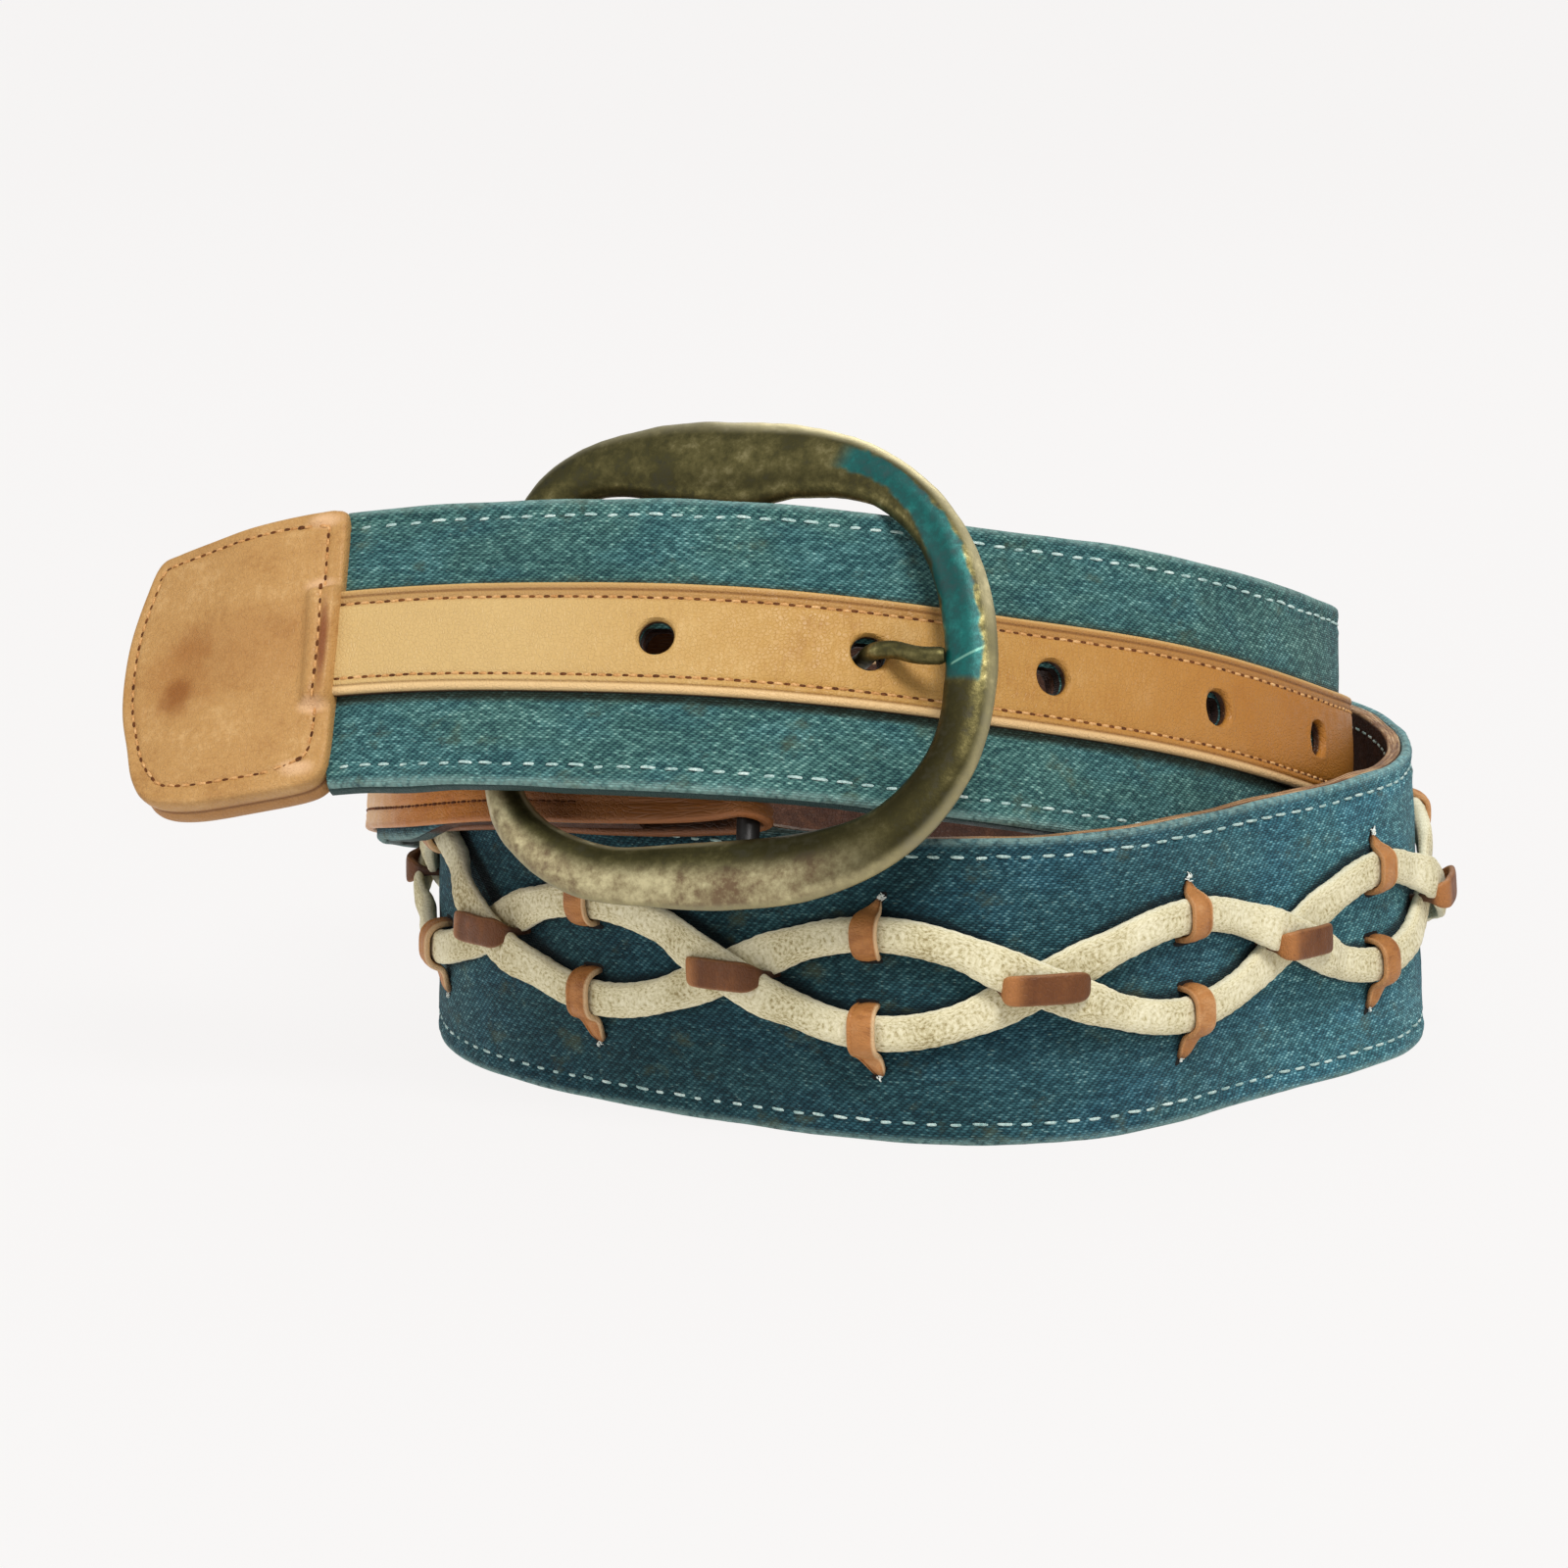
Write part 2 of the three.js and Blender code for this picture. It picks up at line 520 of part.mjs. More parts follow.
// Leather loop over one cord where the cords are farthest apart. Rows run across the cord, outward:
// distance and height of the upper face, the same of the lower face, and half the width. The tail
// tapers to a blunt point, which reaches farther on the lower loops.
const LOOP_ROWS = [
  [-4.0, SEAT, -2.9, SEAT, 2], [-4.0, 2.4, -2.9, 2.3, 2], [-2.5, 4.3, -2.1, 3.4, 2],
  [2.3, 4.3, 2.0, 3.4, 2], [4.0, 2.5, 2.95, 2.2, 2], [4.7, 1.4, 3.3, SEAT, 1.9],
];
const LOOP_TIP = { lower: [7.6, 1.2, 7.6, SEAT, 0.5], upper: [6.0, 1.2, 6.0, SEAT, 0.6] };
function cordLoop(s, side) {
  const centre = Math[side > 0 ? 'max' : 'min'](cordState(s, 1).v, cordState(s, -1).v);
  return loft([...LOOP_ROWS, side > 0 ? LOOP_TIP.upper : LOOP_TIP.lower].map(([yTop, dTop, yLow, dLow, half]) => [
    onStrap(s - half, centre + side * yTop, dTop), onStrap(s + half, centre + side * yTop, dTop),
    onStrap(s + half, centre + side * yLow, dLow), onStrap(s - half, centre + side * yLow, dLow)]));
}

const materials = {
  denim: { color: 0x3f6a7a, roughness: 0.95, metalness: 0 },
  lining: { color: 0xb98a5c, roughness: 0.8, metalness: 0 },
  strip: { color: 0xcf9a58, roughness: 0.65, metalness: 0 },
  cap: { color: 0xd49b66, roughness: 0.7, metalness: 0 },
  chape: { color: 0xa9663a, roughness: 0.65, metalness: 0 },
  keeper: { color: 0x9a6240, roughness: 0.7, metalness: 0 },
  brass: { color: 0x8c8259, roughness: 0.45, metalness: 0.9 },
  cotton: { color: 0xe6dcc2, roughness: 0.95, metalness: 0 },
};

const belt = new THREE.Group();
belt.position.copy(SHIFT);
function add(name, geometry, look) {
  geometry.computeVertexNormals();
  const mesh = new THREE.Mesh(geometry, new THREE.MeshStandardMaterial(materials[look]));
  mesh.name = name;
  belt.add(mesh);
}

add('denim_strap', denimStrap, 'denim');
add('leather_lining', leatherLining, 'lining');
add('hole_strip', holeStrip, 'strip');
add('tip_cap', toGeometry(capSolid), 'cap');
add('chape', chape, 'chape');
add('buckle_frame', buckleFrame, 'brass');
add('buckle_prong', buckleProng, 'brass');
add('lacing_cord_a', cord(1), 'cotton');
add('lacing_cord_b', cord(-1), 'cotton');
CROSSINGS_AT.forEach((s, i) => {
  const number = String(i + 1).padStart(2, '0');
  add(`keeper_centre_${number}`, centreKeeper(s), 'keeper');
  if (i >= LOOPS_AT.length) return;
  add(`loop_upper_${number}`, cordLoop(LOOPS_AT[i], 1), 'keeper');
  add(`loop_lower_${number}`, cordLoop(LOOPS_AT[i], -1), 'keeper');
});

const part = new THREE.Group();
part.add(belt);
export default part;
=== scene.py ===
import math

import bpy
import numpy as np
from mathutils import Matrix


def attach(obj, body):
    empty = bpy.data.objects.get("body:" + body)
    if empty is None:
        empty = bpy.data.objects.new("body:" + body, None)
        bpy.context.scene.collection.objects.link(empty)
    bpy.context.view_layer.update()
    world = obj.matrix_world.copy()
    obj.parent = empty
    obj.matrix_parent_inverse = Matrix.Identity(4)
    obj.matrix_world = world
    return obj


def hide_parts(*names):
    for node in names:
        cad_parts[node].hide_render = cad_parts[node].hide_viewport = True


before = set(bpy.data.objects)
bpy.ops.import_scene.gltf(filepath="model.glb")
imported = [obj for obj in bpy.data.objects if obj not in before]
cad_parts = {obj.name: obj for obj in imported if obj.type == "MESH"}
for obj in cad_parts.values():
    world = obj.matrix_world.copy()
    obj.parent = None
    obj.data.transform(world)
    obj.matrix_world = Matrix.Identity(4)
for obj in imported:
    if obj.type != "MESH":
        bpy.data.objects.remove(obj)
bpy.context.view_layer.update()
body = "root"

# Lengths below are millimetres and become metres when a mesh is made.
# A place on the strap is (s, v, d): distance along it, height across it from its middle line, and
# distance outward from the face of the denim.
strap = {
    "width": 45.0, "denimBack": -1.6, "liningFront": -1.9, "liningBack": -3.8, "start": 5.6,
    "capStart": 975.7, "underCap": 4.5, "shift": (19.395, -1.941, -0.35), "samples": 4000,
    # x, y, z of the lower outer edge, and how far the top leans inward in degrees
    "stations": [
        (-37.6, -66.9, 43.6, 29), (-50.7, -61.0, 42.5, 26), (-62.8, -51.5, 40.9, 21),
        (-75.2, -36.1, 37.1, 12), (-82.9, -11.8, 31.9, 6), (-82.2, 18.7, 24.7, 3.5),
        (-65.1, 51.3, 17.0, 2.7), (-34.2, 76.3, 10.1, 2.5), (4.0, 84.9, 4.4, 2.2),
        (40.4, 74.2, 1.0, 1.6), (66.0, 48.0, 0.1, 1.4), (76.9, 15.4, 0.2, 1.9),
        (75.5, -16.1, 0.1, 4.3), (62.7, -34.9, 0.1, 2.8), (46.5, -51.7, 0.1, 1.8),
        (24.8, -72.3, 0.1, 3.2), (-1.3, -76.0, 0.1, 2.6), (-26.9, -64.5, 0.1, -0.1),
        (-49.6, -48.6, 0.1, -1.3), (-67.9, -27.9, 0.1, 1.2), (-74.5, -3.8, 0.1, 0.3),
        (-68.1, 25.0, 0.1, 0.3), (-50.7, 49.9, 0.1, 1.3), (-24.0, 65.4, 0.8, 2.6),
        (8.0, 67.7, 3.4, 3.1), (37.9, 55.7, 8.0, 2.3), (58.3, 33.1, 13.5, 1.1),
        (65.5, 5.5, 19.3, 1.0), (61.0, -18.1, 25.1, 5.3), (51.3, -36.4, 31.6, 11.3),
        (34.7, -54.4, 39.2, 17.4), (15.1, -68.2, 45.2, 24), (-7.5, -77.2, 50.0, 28.4),
        (-34.8, -78.2, 52.6, 30.4), (-54.6, -73.6, 52.5, 31.6), (-83.4, -64.0, 50.6, 34.8),
        (-104.4, -58.4, 47.3, 37.4), (-122.3, -50.2, 43.2, 39.7),
    ],
}
halfWidth = strap["width"] / 2


# Natural cubic spline: second derivatives solve the usual tridiagonal system, and are 0 at the ends.
def naturalSpline(knots, rows):
    count, step = len(knots), np.diff(knots)
    system, right = np.eye(count), np.zeros_like(rows)
    inner = np.arange(1, count - 1)
    system[inner, inner - 1], system[inner, inner + 1] = step[:-1], step[1:]
    system[inner, inner] = 2 * (step[:-1] + step[1:])
    slope = np.diff(rows, axis=0) / step[:, None]
    right[1:-1] = 6 * np.diff(slope, axis=0)
    bend = np.linalg.solve(system, right)

    def at(t):
        i = np.clip(np.searchsorted(knots, t, side="right") - 1, 0, count - 2)
        h, a, b = step[i][:, None], (knots[i + 1] - t)[:, None], (t - knots[i])[:, None]
        return ((bend[i] * a ** 3 + bend[i + 1] * b ** 3) / (6 * h)
                + (rows[i] / h - bend[i] * h / 6) * a + (rows[i + 1] / h - bend[i + 1] * h / 6) * b)
    return at


# Vectors divided by their lengths.
def unit(vectors):
    return vectors / np.linalg.norm(vectors, axis=-1, keepdims=True)


# The strap's route: along is the way from one place to the next, outward is level and square to it,
# the lean turns across and normal about along, and length runs along the strap's middle line.
def traceStrap():
    stations = np.array(strap["stations"], float)
    knots = np.r_[0, np.cumsum(np.linalg.norm(np.diff(stations[:, :3], axis=0), axis=1))]
    spline = naturalSpline(knots, stations)
    t = np.linspace(0, knots[-1], strap["samples"] + 1)
    rows = spline(t)
    ahead, behind = spline(np.minimum(t + 0.01, knots[-1])), spline(np.maximum(t - 0.01, 0))
    along = unit(ahead[:, :3] - behind[:, :3])
    outward = unit(np.stack([-along[:, 1], along[:, 0], 0 * t], 1))
    up = np.cross(along, outward)
    up *= np.sign(up[:, 2:])
    lean = np.radians(rows[:, 3:])
    across = np.cos(lean) * up - np.sin(lean) * outward
    normal = np.cos(lean) * outward + np.sin(lean) * up
    edge = rows[:, :3] + strap["shift"]
    middle = edge + halfWidth * across
    length = np.r_[0, np.cumsum(np.linalg.norm(np.diff(middle, axis=0), axis=1))]
    return length, np.concatenate([edge, across, normal], 1)


routeLength, routeFrame = traceStrap()
strapEnd = routeLength[-1]


# A point of the strap: lower edge + (v + half the width) x across + d x outward, never under the floor.
def onStrap(s, v, d):
    s, v, d = np.broadcast_arrays(np.asarray(s, float), v, d)
    columns = [np.interp(s, routeLength, routeFrame[:, c]) for c in range(9)]
    edge, across, normal = (np.stack(columns[i:i + 3], -1) for i in (0, 3, 6))
    point = edge + (v + halfWidth)[..., None] * across + d[..., None] * normal
    point[..., 2] = np.maximum(point[..., 2], 0)
    return point


# 3 t squared minus 2 t cubed, t being the share of the way from low to high.
def smoothStep(x, low, high):
    t = np.clip((x - low) / (high - low), 0, 1)
    return t * t * (3 - 2 * t)


# Value noise from -1 to 1: random heights on a unit lattice, joined by smooth steps both ways.
def softNoise(x, y, seed):
    x, y = np.broadcast_arrays(np.asarray(x, float), y)
    table = np.random.default_rng(seed).uniform(-1, 1, (256, 256))
    i, j = np.floor(x).astype(int), np.floor(y).astype(int)
    a, b = smoothStep(x - i, 0, 1), smoothStep(y - j, 0, 1)
    corner = lambda p, q: table[(i + p) % 256, (j + q) % 256]
    near = corner(0, 0) * (1 - b) + corner(0, 1) * b
    far = corner(1, 0) * (1 - b) + corner(1, 1) * b
    return near * (1 - a) + far * a


# Quads over a grid of points, numbered row by row; either way may close on itself.
def gridFaces(rows, columns, wrapRows=False, wrapColumns=False):
    r = np.arange(rows if wrapRows else rows - 1)[:, None]
    c = np.arange(columns if wrapColumns else columns - 1)[None, :]
    r2, c2 = (r + 1) % rows, (c + 1) % columns
    corners = [r * columns + c, r * columns + c2, r2 * columns + c2, r2 * columns + c]
    return np.stack([x.ravel() for x in corners], 1)


# Triangles from a loop of point numbers to one point in its middle.
def fanFaces(loop, middle):
    return np.stack([loop, np.roll(loop, -1), np.full(len(loop), middle)], 1)


# Six times the enclosed volume: the sum of the triple products of the fans of all faces.
def enclosedVolume(points, faces):
    total = 0.0
    for f in faces:
        for k in range(1, f.shape[1] - 1):
            a, b, c = points[f[:, 0]], points[f[:, k]], points[f[:, k + 1]]
            total += np.einsum("ij,ij->", a, np.cross(b, c))
    return total


pieceCount = 0


# Makes the mesh, turns it outward, keeps each point's strap place as an attribute for its material.
def makePiece(name, points, faces, place, slotName, material, nodes=(), crease=50):
    global pieceCount
    points = np.asarray(points, float).reshape(-1, 3)
    if enclosedVolume(points, faces) < 0:
        faces = [f[:, ::-1] for f in faces]
    mesh = bpy.data.meshes.new(name)
    mesh.vertices.add(len(points))
    mesh.vertices.foreach_set("co", (points * 0.001).astype(np.float32).ravel())
    corners = np.concatenate([f.ravel() for f in faces]).astype(np.int32)
    sizes = np.concatenate([np.full(len(f), f.shape[1]) for f in faces])
    starts = np.r_[0, np.cumsum(sizes)[:-1]].astype(np.int32)
    mesh.loops.add(len(corners))
    mesh.loops.foreach_set("vertex_index", corners)
    mesh.polygons.add(len(sizes))
    mesh.polygons.foreach_set("loop_start", starts)
    mesh.polygons.foreach_set("use_smooth", np.ones(len(sizes), bool))
    attribute = mesh.attributes.new("place", "FLOAT_VECTOR", "POINT")
    attribute.data.foreach_set("vector", np.asarray(place, np.float32).reshape(-1, 3).ravel())
    mesh.update(calc_edges=True)
    mesh.set_sharp_from_angle(angle=math.radians(crease))
    mesh.materials.append(material)
    piece = bpy.data.objects.new(name, mesh)
    bpy.context.scene.collection.objects.link(piece)
    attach(piece, body)
    if nodes:
        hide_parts(*nodes)
    pieceCount += 1


# Joins (points, faces, place) parts into one, each part's point numbers moved up by those before it.
def joinParts(parts):
    points, place, faces, first = [], [], [], 0
    for p, f, w in parts:
        points.append(np.reshape(p, (-1, 3)))
        place.append(np.reshape(w, (-1, 3)))
        faces += [x + first for x in f]
        first += len(points[-1])
    return np.concatenate(points), faces, np.concatenate(place)


# Adds the mean point of the first and of the last ring, and a fan from each over its ring.
def closeEnds(joined, rows, columns):
    grid = joined[:rows * columns].reshape(rows, columns, 3)
    ends = np.stack([grid[0].mean(0), grid[-1].mean(0)])
    count = len(joined)
    first, last = np.arange(columns), (rows - 1) * columns + np.arange(columns)
    return np.concatenate([joined, ends]), [fanFaces(first[::-1], count), fanFaces(last, count + 1)]


# A tube of rings along rows, with a fan over each end.
def cappedTube(points, place):
    rows, columns = points.shape[:2]
    joined, caps = closeEnds(points.reshape(-1, 3), rows, columns)
    where, _ = closeEnds(place.reshape(-1, 3), rows, columns)
    return joined, [gridFaces(rows, columns, wrapColumns=True)] + caps, where


studio = {
    "cameraPlace": (-0.001705, -0.951441, 0.22265), "downTilt": 11.0, "lens": 143.775,
    "floorSize": 6.0, "floorColour": (0.03, 0.03, 0.03), "floorGlow": 0.895,
    "skyColour": (0.93, 0.965, 1.0), "skyStrength": 0.4,
    # where the lamps point, then the place, size and power of each
    "aim": (0.0, -0.03, 0.05),
    "lamps": {
        "keyLight": ((0.2, -0.62, 0.95), 0.42, 9.5), "leftLight": ((-0.95, -0.55, 0.35), 0.8, 3.0),
        "rightLight": ((0.95, -0.35, 0.35), 0.8, 1.3), "rimLight": ((0.2, 0.9, 0.8), 0.8, 3.0),
    },
}


# A round lamp turned so that its own -Z runs along the line to the aim.
def areaLight(name, place, size, power):
    lamp = bpy.data.lights.new(name, "AREA")
    lamp.shape, lamp.size, lamp.energy = "DISK", size, power
    lampObject = bpy.data.objects.new(name, lamp)
    lampObject.location = place
    aim = np.array(studio["aim"]) - np.array(place)
    flat = math.hypot(aim[0], aim[1])
    lampObject.rotation_euler = (math.atan2(flat, -aim[2]), 0, math.atan2(-aim[0], aim[1]))
    bpy.context.scene.collection.objects.link(lampObject)


def setStudio():
    scene = bpy.context.scene
    scene.view_settings.view_transform = "Standard"  # keeps the denim and leather as saturated as seen
    camera = bpy.data.cameras.new("camera")
    camera.lens, camera.sensor_width = studio["lens"], 36
    camera.clip_start, camera.clip_end = 0.05, 20
    cameraObject = bpy.data.objects.new("camera", camera)
    cameraObject.location = studio["cameraPlace"]
    cameraObject.rotation_euler = (math.radians(90 - studio["downTilt"]), 0, 0)
    scene.collection.objects.link(cameraObject)
    scene.camera = cameraObject
    for name, (place, size, power) in studio["lamps"].items():
        areaLight(name, place, size, power)
    world = bpy.data.worlds.new("softSky")
    world.use_nodes = True
    sky = world.node_tree.nodes["Background"]
    sky.inputs["Color"].default_value = (*studio["skyColour"], 1)
    sky.inputs["Strength"].default_value = studio["skyStrength"]
    scene.world = world
    half = studio["floorSize"] / 2
    mesh = bpy.data.meshes.new("floor")
    mesh.from_pydata([(-half, -half, 0), (half, -half, 0), (half, half, 0), (-half, half, 0)],
                     [], [(0, 1, 2, 3)])
    paper = bpy.data.materials.new("paperWhite")
    paper.use_nodes = True
    shader = paper.node_tree.nodes["Principled BSDF"]
    shader.inputs["Base Color"].default_value = (*studio["floorColour"], 1)
    shader.inputs["Roughness"].default_value = 0.9
    shader.inputs["Specular IOR Level"].default_value = 0.1
    shader.inputs["Emission Color"].default_value = (1, 0.982, 0.973, 1)
    shader.inputs["Emission Strength"].default_value = studio["floorGlow"]
    mesh.materials.append(paper)
    floor = bpy.data.objects.new("floor", mesh)
    scene.collection.objects.link(floor)


setStudio()
print("studio set")


# A colour given as the eye sees it, 0 to 255, made linear.
def seen(red, green, blue):
    c = np.array([red, green, blue]) / 255
    linear = np.where(c <= 0.04045, c / 12.92, ((c + 0.055) / 1.055) ** 2.4)
    return (*[float(x) for x in linear], 1.0)


class Mixture:
    # One material being mixed: each call adds a node and gives back its output.
    def __init__(self, name, **settings):
        self.material = bpy.data.materials.new(name)
        self.material.use_nodes = True
        self.tree = self.material.node_tree
        self.tree.nodes.clear()
        self.shader = self.tree.nodes.new("ShaderNodeBsdfPrincipled")
        output = self.tree.nodes.new("ShaderNodeOutputMaterial")
        self.tree.links.new(self.shader.outputs[0], output.inputs["Surface"])
        for socket, value in settings.items():
            self.shader.inputs[socket.replace("_", " ")].default_value = value
        placeNode = self.tree.nodes.new("ShaderNodeAttribute")
        placeNode.attribute_name = "place"
        split = self.tree.nodes.new("ShaderNodeSeparateXYZ")
        self.tree.links.new(placeNode.outputs["Vector"], split.inputs[0])
        self.place = placeNode.outputs["Vector"]
        self.s, self.v, self.d = split.outputs

    def feed(self, socket, value):
        if isinstance(value, bpy.types.NodeSocket):
            self.tree.links.new(value, socket)
        else:
            socket.default_value = value

    def math(self, operation, *values):
        node = self.tree.nodes.new("ShaderNodeMath")
        node.operation = operation
        for socket, value in zip(node.inputs, values):
            self.feed(socket, value)
        return node.outputs[0]

    def times(self, first, second):
        return self.math("MULTIPLY", first, second)

    def plus(self, first, second):
        return self.math("ADD", first, second)

    def minus(self, first, second):
        return self.math("SUBTRACT", first, second)

    def size(self, value):
        return self.math("ABSOLUTE", value)

    # Smooth step from start to end while the value goes from low to high, which may run either way.
    def span(self, value, low, high, start=0.0, end=1.0):
        node = self.tree.nodes.new("ShaderNodeMapRange")
        node.interpolation_type = "SMOOTHSTEP"
        for socket, x in zip(node.inputs, (value, low, high, start, end)):
            self.feed(socket, x)
        return node.outputs[0]

    def vector(self, x, y, z):
        node = self.tree.nodes.new("ShaderNodeCombineXYZ")
        for socket, value in zip(node.inputs, (x, y, z)):
            self.feed(socket, value)
        return node.outputs[0]

    def vectorMath(self, operation, first, second):
        node = self.tree.nodes.new("ShaderNodeVectorMath")
        node.operation = operation
        self.feed(node.inputs[0], first)
        self.feed(node.inputs[1], second)
        return node.outputs["Value" if operation == "DOT_PRODUCT" else "Vector"]

    def stretch(self, x, y, z=1.0, source=None):
        return self.vectorMath("MULTIPLY", source or self.place, (x, y, z))

    def noise(self, vector, scale=1.0, detail=3.0, rough=0.55):
        node = self.tree.nodes.new("ShaderNodeTexNoise")
        self.feed(node.inputs["Vector"], vector)
        for socket, value in (("Scale", scale), ("Detail", detail), ("Roughness", rough)):
            node.inputs[socket].default_value = value
        return node.outputs["Fac"]

    def cells(self, vector, scale):
        node = self.tree.nodes.new("ShaderNodeTexVoronoi")
        node.feature = "DISTANCE_TO_EDGE"
        self.feed(node.inputs["Vector"], vector)
        node.inputs["Scale"].default_value = scale
        return node.outputs["Distance"]

    def scatter(self, vector):
        node = self.tree.nodes.new("ShaderNodeTexWhiteNoise")
        self.feed(node.inputs["Vector"], vector)
        return node.outputs["Value"]

    def ramp(self, value, stops):
        node = self.tree.nodes.new("ShaderNodeValToRGB")
        elements = node.color_ramp.elements
        while len(elements) < len(stops):
            elements.new(0.5)
        for element, (at, colour) in zip(elements, stops):
            element.position, element.color = at, colour
        self.feed(node.inputs[0], value)
        return node.outputs[0]

    def blend(self, share, first, second, kind="MIX"):
        node = self.tree.nodes.new("ShaderNodeMix")
        node.data_type, node.blend_type = "RGBA", kind
        self.feed(node.inputs[0], share)
        self.feed(node.inputs[6], first)
        self.feed(node.inputs[7], second)
        return node.outputs[2]

    def bump(self, height, millimetres):
        node = self.tree.nodes.new("ShaderNodeBump")
        node.inputs["Distance"].default_value = millimetres * 0.001
        self.feed(node.inputs["Height"], height)
        return node.outputs[0]

    def surface(self, **values):
        for socket, value in values.items():
            self.feed(self.shader.inputs[socket.replace("_", " ")], value)
        return self.material


lacing = {
    "wide": 5.15, "pressedWide": 6.2, "thick": 2.6, "pressed": 1.9, "swing": 7.2, "middle": 1.2,
    # where the upper cord climbs higher, how far that reaches along the strap, and by how much
    "highSwing": (549.0, 20.0, 4.4),
    "start": 109.7, "end": 724.7, "pitch": 45.9, "seat": 0.3, "step": 0.38, "round": 34,
    "braidPitch": 2.2, "strands": 6, "relief": 0.07,
    "crossings": [119.4, 165.3, 211.2, 257.1, 303.0, 348.9, 392.1, 441.1, 486.9, 532.9, 578.8, 624.7, 670.6,
                  716.5],
    "loops": [142.4, 188.3, 234.2, 280.1, 326.0, 370.2, 415.2, 465.8, 512.6, 553.6, 601.8, 647.7, 693.6],
}

denimLook = {
    "thread": 0.34, "floatLength": 3,
    # from the threads in the dips, darkened by painted shade, to the most faded ones: the free half, then the
    # laced half
    "free": [seen(26, 58, 62), seen(58, 97, 93), seen(86, 128, 122), seen(142, 178, 166)],
    "laced": [seen(20, 48, 56), seen(40, 78, 86), seen(64, 107, 114), seen(124, 158, 156)],
    "rubbed": seen(142, 172, 164), "soil": seen(82, 84, 54), "grimeAndShade": seen(52, 50, 28),
    "holeShade": seen(40, 24, 18), "shadow": seen(14, 24, 28),
    # the stretch under the buckle, darker as unfaded denim and as painted shade: its middle, where it ends
    # and starts to thin out, strength; then its tint
    "unfadedAndShaded": (492.0, 60.0, 28.0, 0.9), "unfadedShadeTint": (0.48, 0.55, 0.54, 1),
    "paintedLightTint": (2.4, 2.4, 2.3, 1), "coolTint": (0.82, 0.95, 1.08, 1),
    # the cords' wave as it is drawn in the shadow, and how early its seventh crossing stands
    "wavePitch": 45.93, "early": 2.7, "earlyReach": 46.0,
}


# Painted shadow beside the cords, on their upper sides and between them at each crossing. A cord's height is
# the swing x sin(pi x share of the way between crossings); one crossing stands 2.7 mm early.
def cordShadow(m):
    q = lacing
    fromEarly = m.size(m.minus(m.s, q["crossings"][6]))
    early = m.math("MAXIMUM", m.minus(1.0, m.math("DIVIDE", fromEarly, denimLook["earlyReach"])), 0.0)
    along = m.minus(m.plus(m.s, m.times(early, denimLook["early"])), q["crossings"][0])
    wave = m.math("SINE", m.times(along, math.pi / denimLook["wavePitch"]))
    where, reach, extra = q["highSwing"]
    far = m.math("POWER", m.size(m.math("DIVIDE", m.minus(m.s, where), reach)), 2.0)
    higher = m.times(m.math("EXPONENT", m.times(far, -1.0)), extra)
    share = 0.0
    for side in (1.0, -1.0):
        height = m.times(wave, side)
        swung = m.plus(m.times(height, q["swing"]),
                       m.times(m.math("MAXIMUM", height, 0.0), higher))
        above = m.minus(m.minus(m.v, q["middle"]), swung)
        over = m.times(m.span(above, 4.1, 2.7), m.span(above, 0.0, 0.5))
        under = m.times(m.span(above, -3.3, -2.7, 0.0, 0.6), m.span(above, 0.0, -0.5))
        share = m.math("MAXIMUM", share, m.math("MAXIMUM", over, under))
    inside = m.times(m.span(m.s, q["start"], q["start"] + 4), m.span(m.s, q["end"], q["end"] - 4))
    return m.times(m.times(share, inside), 0.8)


